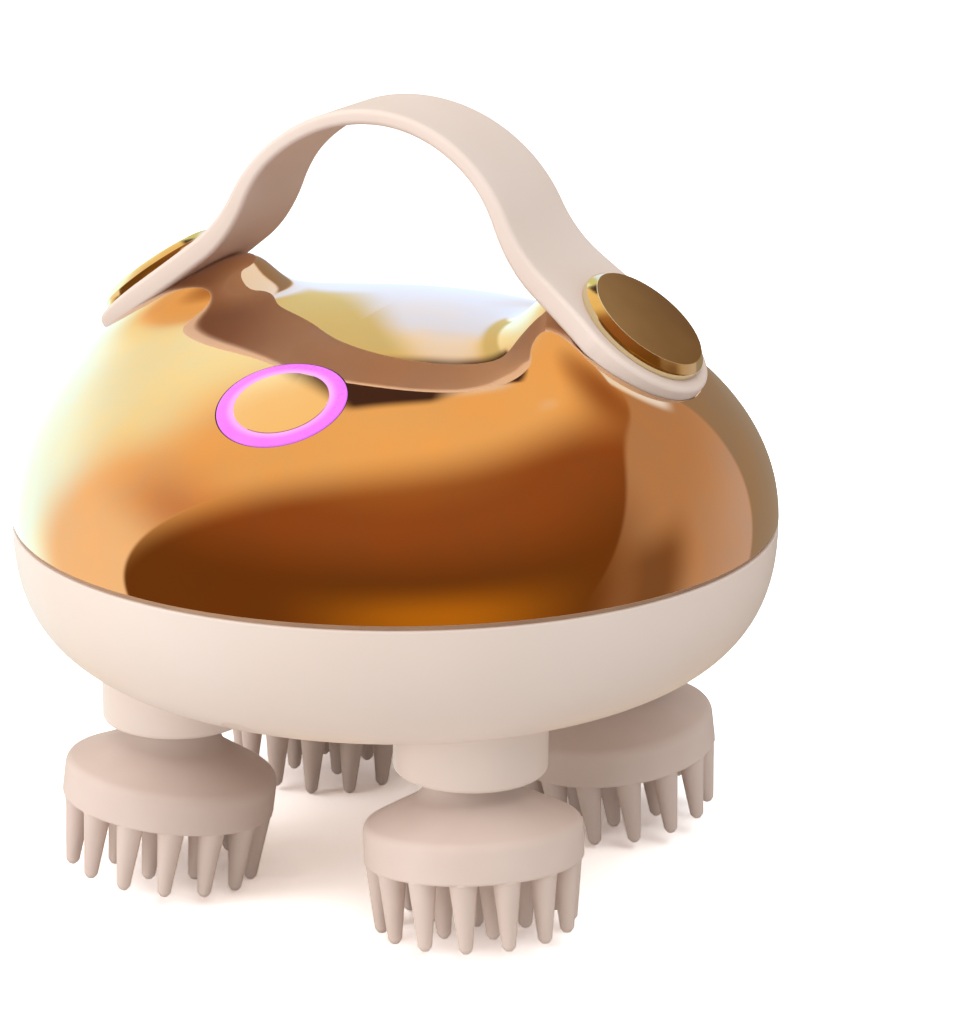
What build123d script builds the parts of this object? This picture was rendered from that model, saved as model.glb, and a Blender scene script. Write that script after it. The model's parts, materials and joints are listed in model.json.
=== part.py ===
from build123d import *

import math
import os

# Electric scalp massager: a chrome upper shell with a saddle-shaped top and a
# finger strap, over a plain lower shell that carries four kneading heads.
# Millimetres and degrees. +X runs along the strap, -Y is the button side, +Z up.
# Every height below is measured from the seam between the two shells; the last
# step lifts the whole assembly until its lowest teeth stand on Z = 0.

# ---------------------------------------------------------------- the two shells
body_radius = 55.0
shell_wall = 2.2
seam_gap = 0.6            # height of the gasket seen between the shells

dome_height = 30.6        # top of the saddle's floor above the seam
horn_rise = 9.2           # extra height of the two horns that carry the strap
ridge_start = 29.7        # where the ridge towards each side is half way up
ridge_blend = 11.7
ridge_reach = 29.0        # how far the ridge spreads to the front and back
ridge_power = 2.5         # how squarely it ends there
nose_radius = 14.0        # round inner end of a horn, about its strap seat
nose_blend = 3.0
dome_cells = 18           # spans of the surface each way
rim_overrun = 1.08        # the surface runs on below the seam, then is trimmed

lower_depth = 23.2
floor_radius = 20.0       # flat middle of the underside
rim_power = 5.0           # roundness of the lower shell, outwards
floor_power = 2.5         # and downwards
profile_steps = 10

tongue_play = 0.5         # lip on the lower shell that centres the upper one
tongue_wall = 1.4
tongue_rise = 2.4
tongue_root = 3.0
tongue_bite = 0.2         # the lip's foot runs this far into the shell's wall
gasket_inset = 0.5
gasket_width = 1.7

# ---------------------------------------------------------------- strap and caps
seat_inset = 18.75        # strap seats, in from the rim
seat_sink = 1.02          # and down from the top of the horn
seat_tilt = 38.0
seat_radius = 12.0
seat_depth = 9.0
strap_thickness = 2.2
strap_end_radius = 11.7
strap_waist_width = 18.6  # at the foot of each leg
strap_top_width = 15.4
strap_end_flare = 0.35    # how much the edges still spread where they meet the round ends
arch_radius = 24.2        # outer surface of the arch
arch_foot_angle = 64.0    # steepest slope of the legs
foot_blend_radius = 20.0

cap_radius = 9.8
cap_thickness = 2.1
cap_chamfer = 1.0
cap_post_radius = 2.5
cap_spot_radius = 5.2     # spot face inside the shell, for the washer
seat_wall = 3.6           # shell thickness left under the cap's post
cap_screw_radius = 1.0
cap_screw_length = 4.4
cap_washer_radius = 4.4
cap_washer_thickness = 1.0
cap_screw_head_radius = 2.0
cap_screw_head_height = 1.4

# ---------------------------------------------------------------- button
button_inset = 20.9       # in from the rim
button_radius = 6.8
button_proud = 0.15
button_height = 3.4
button_flange_radius = 7.6
button_flange_height = 0.7
button_stem_radius = 1.5
button_stem_end = 6.0
light_ring_outer = 9.6
light_ring_depth = 3.0
button_seal_outer = 10.0
button_seal_depth = 3.6
button_seal_lip = 8.1
button_board_radius = 12.5
button_board_depth = 8.4
button_board_thickness = 1.2
board_pin_circle = 11.1
board_pin_radius = 0.8
board_post_radius = 1.5
board_pins = 3
led_circle = 8.25
led_count = 6
led_size = 2.0
led_height = 0.8
switch_size = 6.0
switch_height = 1.25
plunger_radius = 1.6
plunger_height = 0.5

# ---------------------------------------------------------------- charging port
port_inset = 15.0         # in from the rim
port_cover_length = 12.4
port_cover_width = 6.6
port_cover_thickness = 1.0
port_plug_depth = 3.0
usb_width = 9.4
usb_height = 3.8
usb_wall = 0.35
usb_depth = 7.3
usb_back_wall = 1.0
usb_tongue_width = 6.7
usb_tongue_height = 0.7
usb_tongue_inset = 1.0    # the tongue ends below the socket's mouth
usb_board_length = 12.0
usb_board_thickness = 1.0
usb_board_drop = 1.0      # the board starts below the inside of the shell
usb_board_overhang = 3.0  # and ends past the back of the socket

# ---------------------------------------------------------------- gear train
head_inset = 22.0         # axes of the heads, in from the rim
pressure_angle = 25.0
drive_teeth = 36
head_teeth = 24
pinion_teeth = 12
gear_width = 5.0
gear_backlash = 0.25
root_depth = 1.25         # below the pitch circle, in modules
gear_bottom = -12.5
hub_bottom = -13.5
hub_top = -6.3
drive_hub_radius = 5.0
head_hub_radius = 5.0

plate_bottom = -6.0
plate_thickness = 2.0
plate_play = 1.1          # between the plate and the shell's screw columns
plate_window_radius = 6.0
plate_window_circle = 26.0
plate_post_radius = 3.0
plate_screw_radius = 1.2
plate_screw_length = 8.0
plate_screw_head_radius = 2.2
plate_screw_head_height = 1.6

web_openings = 6
web_opening_circle = 12.0
web_opening_radius = 3.0
gear_seat_flats = 5.0

axle_radius = 2.0
axle_boss_radius = 4.5

motor_radius = 9.0
motor_height = 11.5
gearbox_radius = 10.0
gearbox_height = 10.0
motor_boss_radius = 3.5
motor_shaft_radius = 1.5
motor_shaft_seat = 5.0
motor_screw_radius = 1.0
motor_screw_reach = 4.0
motor_screw_offset = 6.5
motor_screw_head_radius = 1.8
motor_screw_head_height = 1.0
motor_tab_width = 2.0
motor_tab_thickness = 0.5
motor_tab_height = 2.5
motor_tab_offset = 5.5

# ---------------------------------------------------------------- head drives
collar_radius = 10.7
collar_bottom = -27.9
collar_top = -15.0
collar_edge_radius = 0.8
collar_mouth_radius = 8.6
collar_mouth_depth = 3.0
seal_radius = 7.0
seal_height = 2.5
seal_lip_height = 0.9
seal_relief = 1.2
bush_radius = 6.0
bush_flange_radius = 7.5
bush_flange_height = 1.2
journal_radius = 4.0
journal_end = -25.7
gear_seat_radius = 3.0
top_journal_radius = 2.0
top_journal_top = -4.2
stub_flats = 5.0
stub_start = -3.0         # all along the tilted axis, from the pivot downwards
stub_end = 7.0

# ---------------------------------------------------------------- massage heads
head_tilt = 7.6           # the head leans outwards on its inclined stub
pivot_z = -28.4
neck_start = -1.5
neck_radius = 6.3
neck_end = 5.6            # the neck meets the sloping shoulder here
neck_blend_radius = 2.8
head_radius = 15.3
shoulder_drop = 8.2       # the shoulder meets the upright rim here
shoulder_radius = 3.2
head_bottom = 12.4        # underside of the disc
core_radius = 4.6
core_flange_radius = 10.5
core_flange_start = 8.6
core_flange_end = 10.2
core_socket_depth = 7.4
tooth_length = 9.8
tooth_base_radius = 2.05
tooth_tip_radius = 0.75
tooth_tip_length = 0.5
tooth_root = 0.4
outer_row_count = 14
outer_row_radius = 13.2
inner_row_count = 6
inner_row_radius = 6.9

# ---------------------------------------------------------------- power and control
battery_end_gap = 4.7     # to the gear motor at one end and a plate screw at the other
battery_width = 30.0
battery_height = 8.0
battery_edge_radius = 3.0
pad_thickness = 0.5
pad_inset = 2.0
board_overhang = 1.0      # past each end of the battery
board_width = 42.0
board_thickness = 1.2
board_standoff = 10.6
board_standoff_radius = 2.2
board_hole_inset = 3.0
board_screw_length = 5.0
board_screw_radius = 0.8
board_screw_head_radius = 1.6
board_screw_head_height = 1.0
chip_height = 1.2
board_chips = [(-8, 6, 8, 8), (6, 8, 6, 4), (10, -8, 9, 5), (-10, -10, 5, 5)]

# ---------------------------------------------------------------- shell screws
shell_screw_inset = 9.0   # in from the rim
shell_column_radius = 3.4
shell_screw_radius = 1.25
shell_screw_head_radius = 2.4
shell_screw_head_height = 1.8
shell_screw_seat = -9.0
shell_screw_reach = 7.0
screw_well_radius = 2.7
screw_plug_top = -12.0

# ---------------------------------------------------------------- clearances
running_clearance = 0.05
fit_clearance = 0.03
part_gap = 0.1
open_gap = 0.3
thread_end_gap = 0.5      # between the end of a screw and the bottom of its hole
overcut = 1.0             # cutting bodies reach this far past the surface

# ---------------------------------------------------------------- derived values
head_circle = body_radius - head_inset
gear_module = 2 * head_circle / (drive_teeth + head_teeth)
pinion_circle = gear_module * (drive_teeth + pinion_teeth) / 2
gear_top = gear_bottom + gear_width
plate_top = plate_bottom + plate_thickness
shell_screw_circle = body_radius - shell_screw_inset
plate_radius = shell_screw_circle - shell_column_radius - plate_play
plate_post_circle = plate_radius - plate_screw_head_radius - part_gap
battery_start = gearbox_radius - pinion_circle + battery_end_gap
battery_end = plate_post_circle - plate_screw_head_radius - battery_end_gap
battery_length = battery_end - battery_start
battery_x = (battery_start + battery_end) / 2
board_length = battery_length + 2 * board_overhang
cavity_radius = body_radius - shell_wall
cavity_height = dome_height - shell_wall
tongue_outer = cavity_radius - tongue_play
inner_floor = shell_wall - lower_depth
seat_x = body_radius - seat_inset
button_y = body_radius - button_inset
port_y = body_radius - port_inset
head_angles = {"front_right": -45, "back_right": 45, "back_left": 135, "front_left": 225}
quarter_angles = [0, 90, 180, 270]
ring_inner = button_radius + part_gap

tilt_sin = math.sin(math.radians(head_tilt))
tilt_cos = math.cos(math.radians(head_tilt))
tooth_end = head_bottom + tooth_length
lowest_radius = outer_row_radius + tooth_tip_radius / 2
stand_height = lowest_radius * tilt_sin + tooth_end * tilt_cos - pivot_z


# ---------------------------------------------------------------- helpers
def ring(outer, inner, bottom, top):
    # A plain ring between two heights.
    height = top - bottom
    middle = (top + bottom) / 2
    return Pos(0, 0, middle) * (Cylinder(outer, height) - Cylinder(inner, height))


def disc(radius, bottom, top):
    return Pos(0, 0, (bottom + top) / 2) * Cylinder(radius, top - bottom)


def block(length, width, bottom, top):
    return Pos(0, 0, (bottom + top) / 2) * Box(length, width, top - bottom)


def slot_block(length, width, bottom, top):
    # An oblong with round ends, long in X.
    return Pos(0, 0, bottom) * extrude(SlotOverall(length, width), top - bottom)


def around(radius, angle):
    return Pos(
        radius * math.cos(math.radians(angle)), radius * math.sin(math.radians(angle)), 0
    )


def turned(points):
    # Revolves an outline in the (radius, height) plane about the Z axis.
    return revolve(Plane.XZ * make_face(Polyline(*points, close=True)), Axis.Z)


def save(name, shape):
    export_step(Pos(0, 0, stand_height) * shape, f"parts/{name}.step")


# ---------------------------------------------------------------- dome surface
def horn_share(x, y):
    # How much of the horn's rise applies at a place: the ridge towards the side,
    # joined with the round nose about the strap's seat.
    side = abs(x)
    nose_distance = math.hypot(side - seat_x, y)
    nose = 0.5 - 0.5 * math.tanh((nose_distance - nose_radius) / nose_blend)
    ridge = 0.5 + 0.5 * math.tanh((side - ridge_start) / ridge_blend)
    ridge = ridge * math.exp(-((abs(y) / ridge_reach) ** ridge_power))
    return 1 - (1 - nose) * (1 - ridge)


def dome_z(x, y):
    # Height of the outer surface over a place: an ellipsoid that is taller
    # where the horns are.
    roof = math.sqrt(1 - (x * x + y * y) / body_radius**2)
    return roof * (dome_height + horn_rise * horn_share(x, y))


seat_z = dome_z(seat_x, 0) - seat_sink


def dome_slope(y):
    # Slope of the surface along Y, in degrees, on the middle line X = 0.
    step = 0.05
    rise = dome_z(0, y + step) - dome_z(0, y - step)
    return math.degrees(math.atan(rise / (2 * step)))


def dome_point(i, k):
    # A square grid mapped on to a disc, then on to the ellipsoid. Past the rim
    # the surface turns under, so the seam cuts it where it stands upright.
    u = 2 * i / dome_cells - 1
    v = 2 * k / dome_cells - 1
    a = rim_overrun * u * math.sqrt(1 - v * v / 2)
    b = rim_overrun * v * math.sqrt(1 - u * u / 2)
    reach = math.hypot(a, b)
    spread = math.pi / 2
    if reach > 0:
        spread = math.sin(math.pi * reach / 2) / reach
    x = body_radius * a * spread
    y = body_radius * b * spread
    height = dome_height + horn_rise * horn_share(x, y)
    return Vector(x, y, height * math.cos(math.pi * reach / 2))


def dome_solid():
    spans = range(dome_cells + 1)
    grid = [[dome_point(i, k) for k in spans] for i in spans]
    along = [Edge.make_spline(row) for row in grid]
    across = [Edge.make_spline([row[k] for row in grid]) for k in spans]
    surface = Face.make_gordon_surface(along, across, tolerance=0.01)
    pieces = surface.split(Plane.XY, keep=Keep.ALL)
    top = max(ShapeList(pieces).faces(), key=lambda face: face.area)
    return Solid(Shell([top, Face(Wire(top.edges()))]))


def cavity_solid():
    # The hollow inside the dome, a plain ellipsoid.
    return scale(Sphere(1), by=(cavity_radius, cavity_radius, cavity_height))


# ---------------------------------------------------------------- local frames
def on_dome(y):
    # A frame on the middle line of the dome, its Z along the surface's normal.
    return Pos(0, y, dome_z(0, y)) * Rot(X=dome_slope(y))


def on_seat(side):
    # The frame of a strap seat; side is +1 or -1 along X.
    return Pos(side * seat_x, 0, seat_z) * Rot(Y=side * seat_tilt)


def on_stub(angle):
    # The frame of a head: origin at the pivot, -Z down the tilted stub.
    return around(head_circle, angle) * Pos(0, 0, pivot_z) * Rot(Z=angle) * Rot(Y=-head_tilt)


# ---------------------------------------------------------------- lower shell
def bowl(radius, depth):
    # Superellipse side wall that runs into a flat floor.
    points = []
    for step in range(profile_steps + 1):
        angle = math.pi / 2 * step / profile_steps
        r = radius * math.sin(angle) ** (2 / rim_power)
        z = -depth * math.cos(angle) ** (2 / floor_power)
        if r > floor_radius:
            points.append((r, z))
    points.insert(0, (floor_radius, -depth))
    side = Spline(*points, tangents=[(1, 0), (0, 1)])
    rest = Polyline((radius, 0), (0, 0), (0, -depth), (floor_radius, -depth))
    return revolve(Plane.XZ * make_face([side, rest]), Axis.Z)


def collar_bore():
    # Everything that is bored out of one collar, from the mouth upwards.
    mouth_top = collar_bottom + collar_mouth_depth
    bore = disc(collar_mouth_radius, collar_bottom - overcut, mouth_top)
    bore += disc(seal_radius, mouth_top, mouth_top + seal_height)
    bore += disc(bush_radius + fit_clearance, mouth_top + seal_height, collar_top + overcut)
    return bore


def lower_shell():
    outer = bowl(body_radius, lower_depth)
    inner = bowl(cavity_radius, lower_depth - shell_wall)
    shell = outer - inner
    shell -= disc(body_radius + overcut, -seam_gap / 2, overcut)
    tongue = ring(tongue_outer, tongue_outer - tongue_wall, -tongue_root, tongue_rise)
    shell += tongue
    foot_outer = cavity_radius + tongue_bite
    shell += ring(foot_outer, tongue_outer - tongue_wall, -tongue_root, -seam_gap / 2)
    for angle in head_angles.values():
        collar = disc(collar_radius, collar_bottom, collar_top)
        edge = collar.edges().sort_by(Axis.Z)[0]
        shell += around(head_circle, angle) * fillet(edge, collar_edge_radius)
    boss = disc(axle_boss_radius, inner_floor - shell_wall / 2, hub_bottom - open_gap)
    shell += boss
    for angle in quarter_angles:
        post = around(plate_post_circle, angle) * disc(plate_post_radius, inner_floor, plate_bottom)
        shell += post & outer
        column = around(shell_screw_circle, angle) * disc(shell_column_radius, -lower_depth, 0)
        shell += column & outer
    for angle in head_angles.values():
        shell -= around(head_circle, angle) * collar_bore()
    shell -= disc(axle_radius + fit_clearance, inner_floor, 0)
    for angle in quarter_angles:
        hole = disc(plate_screw_radius + fit_clearance, plate_top - plate_screw_length, 0)
        shell -= around(plate_post_circle, angle) * hole
        well = disc(screw_well_radius, -lower_depth - overcut, shell_screw_seat)
        well += disc(shell_screw_radius + part_gap, shell_screw_seat, overcut)
        shell -= around(shell_screw_circle, angle) * well
    return shell


def screw_plugs():
    outer = bowl(body_radius, lower_depth)
    plug = disc(screw_well_radius - fit_clearance, -lower_depth, screw_plug_top)
    return [around(shell_screw_circle, angle) * plug & outer for angle in quarter_angles]


def seam_gasket():
    outer = body_radius - gasket_inset
    return ring(outer, outer - gasket_width, -seam_gap / 2, seam_gap / 2)


# ---------------------------------------------------------------- upper shell
def upper_shell(dome, cavity):
    shell = dome - cavity
    for side in (1, -1):
        seat = on_seat(side) * disc(seat_radius, -seat_depth, 0)
        shell += seat - cavity
    for angle in quarter_angles:
        column = around(shell_screw_circle, angle) * disc(shell_column_radius, 0, dome_height)
        shell += column & dome
    for side in (1, -1):
        shell -= on_seat(side) * disc(strap_end_radius + part_gap, 0, seat_depth)
    rim_inner = shell_screw_circle + shell_column_radius
    shell -= ring(body_radius + overcut, rim_inner, -overcut, seam_gap / 2)
    for angle in range(board_pins):
        post = disc(board_post_radius, -button_board_depth, 0)
        spot = Rot(Z=90 + 360 / board_pins * angle) * Pos(board_pin_circle, 0, 0)
        post += disc(board_pin_radius, -button_board_depth - button_board_thickness, 0)
        shell += (on_dome(-button_y) * spot * post) & dome
    for side in (1, -1):
        shell -= on_seat(side) * disc(cap_post_radius + part_gap, -seat_wall - overcut, overcut)
        shell -= on_seat(side) * disc(cap_spot_radius, -2 * seat_depth, -seat_wall)
    shell -= on_dome(-button_y) * disc(button_seal_outer, -seat_depth, seat_depth)
    cover_space = slot_block(port_cover_length, port_cover_width, -port_cover_thickness, overcut)
    shell -= on_dome(port_y) * cover_space
    nose_space = slot_block(usb_width + part_gap, usb_height + part_gap, -seat_depth, overcut)
    shell -= on_dome(port_y) * nose_space
    for angle in quarter_angles:
        hole_top = shell_screw_reach + thread_end_gap
        hole = disc(shell_screw_radius + fit_clearance, -overcut, hole_top)
        shell -= around(shell_screw_circle, angle) * hole
    return shell


# ---------------------------------------------------------------- strap and caps
def strap_section():
    # The strap's side view: two straight seats, two feet bent upwards and an arch.
    tilt = math.radians(seat_tilt)
    foot = math.radians(arch_foot_angle)
    seat_top = seat_x * math.sin(tilt) + seat_z * math.cos(tilt) + strap_thickness
    both = arch_radius + foot_blend_radius
    arch_z = seat_top + foot_blend_radius - both * math.cos(foot - tilt)
    arch_z = arch_z / math.cos(tilt)
    blend_x = both * math.sin(foot)
    blend_z = arch_z + both * math.cos(foot)
    seat_end_x = seat_x + strap_thickness * math.sin(tilt)
    seat_end_z = seat_z + strap_thickness * math.cos(tilt)
    outline = []
    for drop in (0, strap_thickness):
        arch = arch_radius - drop
        blend = foot_blend_radius + drop
        foot_point = (arch * math.sin(foot), arch_z + arch * math.cos(foot))
        blend_point = (blend_x - blend * math.sin(tilt), blend_z - blend * math.cos(tilt))
        middle = (foot + tilt) / 2
        blend_middle = (blend_x - blend * math.sin(middle), blend_z - blend * math.cos(middle))
        seat_point = (seat_end_x - drop * math.sin(tilt), seat_end_z - drop * math.cos(tilt))
        outline.append((seat_point, blend_point, blend_middle, foot_point, (0, arch_z + arch)))
    curves = []
    for seat_point, blend_point, blend_middle, foot_point, crown in outline:
        curves.append(Line(seat_point, blend_point))
        curves.append(ThreePointArc(blend_point, blend_middle, foot_point))
        curves.append(RadiusArc(foot_point, crown, -math.dist(crown, (0, arch_z))))
    curves.append(Line(outline[0][0], outline[1][0]))
    curves.append(Line(outline[0][4], outline[1][4]))
    return make_face(curves)


def strap_outline():
    # Half of the strap seen from above: narrow on top, wider towards the seats.
    foot_x = arch_radius * math.sin(math.radians(arch_foot_angle))
    crown = (0, strap_top_width / 2)
    waist = (foot_x, strap_waist_width / 2)
    end = (seat_x, strap_end_radius)
    side = Spline(crown, waist, end, tangents=[(1, 0), (1, strap_end_flare)])
    middle = Line((0, 0), crown)
    reach = seat_x + strap_end_radius
    rest = Polyline(end, (reach, strap_end_radius), (reach, 0), (0, 0))
    return make_face([side, middle, rest])


def strap():
    half_section = Plane.XZ * strap_section()
    leg = extrude(half_section, strap_end_radius, both=True)
    plan = extrude(strap_outline(), 4 * body_radius)
    plan += mirror(plan, Plane.XZ)
    leg = leg & Pos(0, 0, -body_radius) * plan
    leg += on_seat(1) * disc(strap_end_radius, 0, strap_thickness)
    band = leg + mirror(leg, Plane.YZ)
    for side in (1, -1):
        band -= on_seat(side) * disc(cap_post_radius + part_gap, -overcut, strap_thickness + overcut)
    return band


def cap(side):
    button = disc(cap_radius, strap_thickness, strap_thickness + cap_thickness)
    edge = button.edges().sort_by(Axis.Z)[-1]
    body = chamfer(edge, cap_chamfer)
    body += disc(cap_post_radius, part_gap - seat_wall, strap_thickness)
    body -= disc(cap_screw_radius + fit_clearance, -seat_wall, cap_screw_length - seat_wall)
    return on_seat(side) * body


def cap_screws():
    washer_top = -seat_wall
    head_top = washer_top - cap_washer_thickness
    screw = ring(cap_washer_radius, cap_screw_radius, head_top, washer_top)
    screw += disc(cap_screw_head_radius, head_top - cap_screw_head_height, head_top)
    screw += disc(cap_screw_radius, head_top, washer_top + cap_screw_length - thread_end_gap)
    return [on_seat(side) * screw for side in (1, -1)]


# ---------------------------------------------------------------- button
def button_cap():
    cap_bottom = button_proud - button_height
    body = disc(button_radius, cap_bottom, button_proud)
    body += disc(button_flange_radius, cap_bottom - button_flange_height, cap_bottom)
    body += disc(button_stem_radius, -button_stem_end, cap_bottom)
    return on_dome(-button_y) * body


def light_ring():
    return on_dome(-button_y) * ring(light_ring_outer, ring_inner, -light_ring_depth, button_proud)


def button_seal():
    body = ring(button_seal_outer, light_ring_outer, -button_seal_depth, 0)
    body += ring(button_seal_outer, button_seal_lip, -button_seal_depth, -light_ring_depth)
    return on_dome(-button_y) * body


def button_board():
    top = -button_board_depth
    board = disc(button_board_radius, top - button_board_thickness, top)
    for pin in range(board_pins):
        hole = disc(board_pin_radius + fit_clearance, top - button_board_thickness - overcut, top + overcut)
        board -= Rot(Z=90 + 360 / board_pins * pin) * Pos(board_pin_circle, 0, 0) * hole
    return on_dome(-button_y) * board


def ring_leds():
    led = block(led_size, led_size, -button_board_depth, led_height - button_board_depth)
    spots = PolarLocations(led_circle, led_count)
    return [on_dome(-button_y) * spot * led for spot in spots]


def tact_switch():
    bottom = -button_board_depth
    body = block(switch_size, switch_size, bottom, bottom + switch_height)
    body += disc(plunger_radius, bottom + switch_height, bottom + switch_height + plunger_height)
    return on_dome(-button_y) * body


# ---------------------------------------------------------------- charging port
def port_cover():
    flange = slot_block(
        port_cover_length - 2 * part_gap, port_cover_width - 2 * part_gap, -port_cover_thickness, 0
    )
    plug = slot_block(
        usb_width - 2 * usb_wall - 2 * part_gap,
        usb_height - 2 * usb_wall - 2 * part_gap,
        -port_cover_thickness - port_plug_depth,
        -port_cover_thickness,
    )
    tongue_space = block(
        usb_tongue_width + 2 * part_gap,
        usb_tongue_height + 2 * part_gap,
        -port_cover_thickness - port_plug_depth - overcut,
        -port_cover_thickness,
    )
    return on_dome(port_y) * (flange + plug - tongue_space)


def usb_socket():
    top = -port_cover_thickness
    bottom = top - usb_depth
    shell = slot_block(usb_width, usb_height, bottom, top)
    inner_width = usb_width - 2 * usb_wall
    inner_height = usb_height - 2 * usb_wall
    shell -= slot_block(inner_width, inner_height, bottom + usb_back_wall, top)
    shell += block(usb_tongue_width, usb_tongue_height, bottom, top - usb_tongue_inset)
    return on_dome(port_y) * shell


def usb_board_place():
    return on_dome(port_y) * Pos(0, -(usb_height + usb_board_thickness) / 2, 0)


def usb_board():
    bottom = -port_cover_thickness - usb_depth - usb_board_overhang
    top = -shell_wall - usb_board_drop
    return usb_board_place() * block(usb_board_length, usb_board_thickness, bottom, top)


# ---------------------------------------------------------------- gears
def involute(angle):
    return math.tan(angle) - angle


def gear_outline(teeth):
    # Involute flanks drawn through the root, pitch and tip circles.
    pitch = gear_module * teeth / 2
    base = pitch * math.cos(math.radians(pressure_angle))
    root = pitch - root_depth * gear_module
    tip = pitch + gear_module
    half_tooth = math.pi / (2 * teeth) - gear_backlash / (4 * pitch)
    half_tooth += involute(math.radians(pressure_angle))
    flank = []
    for radius in (root, pitch, tip):
        roll = math.acos(min(1, base / radius))
        flank.append((radius, half_tooth - involute(roll)))
    points = []
    for tooth in range(teeth):
        middle = 2 * math.pi * tooth / teeth
        for radius, half in flank:
            points.append((radius * math.cos(middle - half), radius * math.sin(middle - half)))
        for radius, half in reversed(flank):
            points.append((radius * math.cos(middle + half), radius * math.sin(middle + half)))
    return make_face(Polyline(*points, close=True))


def gear(teeth):
    return Pos(0, 0, gear_bottom) * extrude(gear_outline(teeth), gear_width)


def mesh_turn(teeth, direction):
    # Turns a gear, seen in this direction from the drive gear, into mesh with it.
    pitch = 360 / drive_teeth
    lead = round(direction / pitch) * pitch - direction
    return direction + 180 - lead * drive_teeth / teeth + 180 / teeth


def drive_gear():
    body = gear(drive_teeth) + disc(drive_hub_radius, hub_bottom, hub_top)
    for spot in PolarLocations(web_opening_circle, web_openings):
        body -= spot * disc(web_opening_radius, gear_bottom, gear_top)
    return body - disc(axle_radius + running_clearance, hub_bottom, hub_top)


def drive_axle():
    return disc(axle_radius, inner_floor, plate_top)


def gear_seat(radius, flats, bottom, top):
    # Round seat with two flats, so that the gear drives the shaft.
    return disc(radius, bottom, top) & block(flats, 2 * radius, bottom, top)


def head_gear(angle):
    body = Rot(Z=mesh_turn(head_teeth, angle)) * gear(head_teeth)
    body += disc(head_hub_radius, hub_bottom, hub_top)
    bore_radius = gear_seat_radius + fit_clearance
    bore_flats = gear_seat_flats + 2 * fit_clearance
    bore = gear_seat(bore_radius, bore_flats, hub_bottom, hub_top)
    return around(head_circle, angle) * (body - bore)


def output_shaft(angle):
    body = disc(journal_radius, journal_end, hub_bottom)
    body += gear_seat(gear_seat_radius, gear_seat_flats, hub_bottom, hub_top)
    body += disc(top_journal_radius, hub_top, top_journal_top)
    hexagon = RegularPolygon(stub_flats / 2, 6, major_radius=False)
    stub = Pos(0, 0, -stub_end) * extrude(hexagon, stub_end - stub_start)
    return around(head_circle, angle) * body + on_stub(angle) * stub


def bush(angle):
    bottom = collar_bottom + collar_mouth_depth + seal_height
    bore = journal_radius + running_clearance
    body = ring(bush_radius, bore, bottom, collar_top)
    body += ring(bush_flange_radius, bore, collar_top, collar_top + bush_flange_height)
    return around(head_circle, angle) * body


def shaft_seal(angle):
    bottom = collar_bottom + collar_mouth_depth
    outer = seal_radius - fit_clearance
    body = ring(outer, journal_radius + seal_relief, bottom, bottom + seal_height)
    body += ring(outer, journal_radius + running_clearance, bottom, bottom + seal_lip_height)
    return around(head_circle, angle) * body


# ---------------------------------------------------------------- massage heads
def tooth():
    top = tooth_root - head_bottom
    tip = -tooth_end + tooth_tip_length
    points = [(0, top), (tooth_base_radius, top), (tooth_base_radius, -head_bottom)]
    points += [(tooth_tip_radius, tip), (tooth_tip_radius / 2, -tooth_end), (0, -tooth_end)]
    return turned(points)


def head_blank():
    points = [(0, -neck_start), (neck_radius, -neck_start), (neck_radius, -neck_end)]
    points += [(head_radius, -shoulder_drop), (head_radius, -head_bottom), (0, -head_bottom)]
    outline = make_face(Polyline(*points, close=True))
    neck = outline.vertices().sort_by_distance((neck_radius, -neck_end, 0))[0]
    outline = fillet(neck, neck_blend_radius)
    shoulder = outline.vertices().sort_by_distance((head_radius, -shoulder_drop, 0))[0]
    outline = fillet(shoulder, shoulder_radius)
    return revolve(Plane.XZ * outline, Axis.Z)


def core_blank():
    body = disc(core_radius, -core_flange_end, -neck_start)
    return body + disc(core_flange_radius, -core_flange_end, -core_flange_start)


def head_core(angle):
    hexagon = RegularPolygon(stub_flats / 2 + running_clearance, 6, major_radius=False)
    socket = Pos(0, 0, -core_socket_depth) * extrude(hexagon, core_socket_depth - neck_start)
    return on_stub(angle) * (core_blank() - socket)


def massage_head(angle):
    body = head_blank() - core_blank()
    for spot in PolarLocations(outer_row_radius, outer_row_count):
        body += spot * tooth()
    for spot in PolarLocations(inner_row_radius, inner_row_count):
        body += spot * tooth()
    body += tooth()
    return on_stub(angle) * body


# ---------------------------------------------------------------- gear plate and motor
def board_holes():
    half_length = board_length / 2 - board_hole_inset
    half_width = board_width / 2 - board_hole_inset
    places = []
    for x in (half_length, -half_length):
        for y in (half_width, -half_width):
            places.append(Pos(battery_x + x, y, 0))
    return places


def motor_place():
    return Pos(-pinion_circle, 0, 0)


def gear_plate():
    plate = disc(plate_radius, plate_bottom, plate_top)
    for spot in board_holes():
        plate += spot * disc(board_standoff_radius, plate_top, plate_top + board_standoff)
        hole_bottom = plate_top + board_standoff - board_screw_length
        plate -= spot * disc(board_screw_radius + fit_clearance, hole_bottom, plate_top + board_standoff)
    for angle in head_angles.values():
        hole = disc(top_journal_radius + running_clearance, plate_bottom, plate_top)
        plate -= around(head_circle, angle) * hole
    plate -= disc(axle_radius + fit_clearance, plate_bottom, plate_top)
    for angle in quarter_angles[:2] + quarter_angles[3:]:
        window = disc(plate_window_radius, plate_bottom, plate_top)
        plate -= around(plate_window_circle, angle) * window
    for angle in quarter_angles:
        hole = disc(plate_screw_radius + part_gap, plate_bottom, plate_top)
        plate -= around(plate_post_circle, angle) * hole
    plate -= motor_place() * disc(motor_boss_radius + part_gap, plate_bottom, plate_top)
    for side in (1, -1):
        hole = disc(motor_screw_radius + part_gap, plate_bottom, plate_top)
        plate -= motor_place() * Pos(0, side * motor_screw_offset, 0) * hole
    return plate


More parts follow.
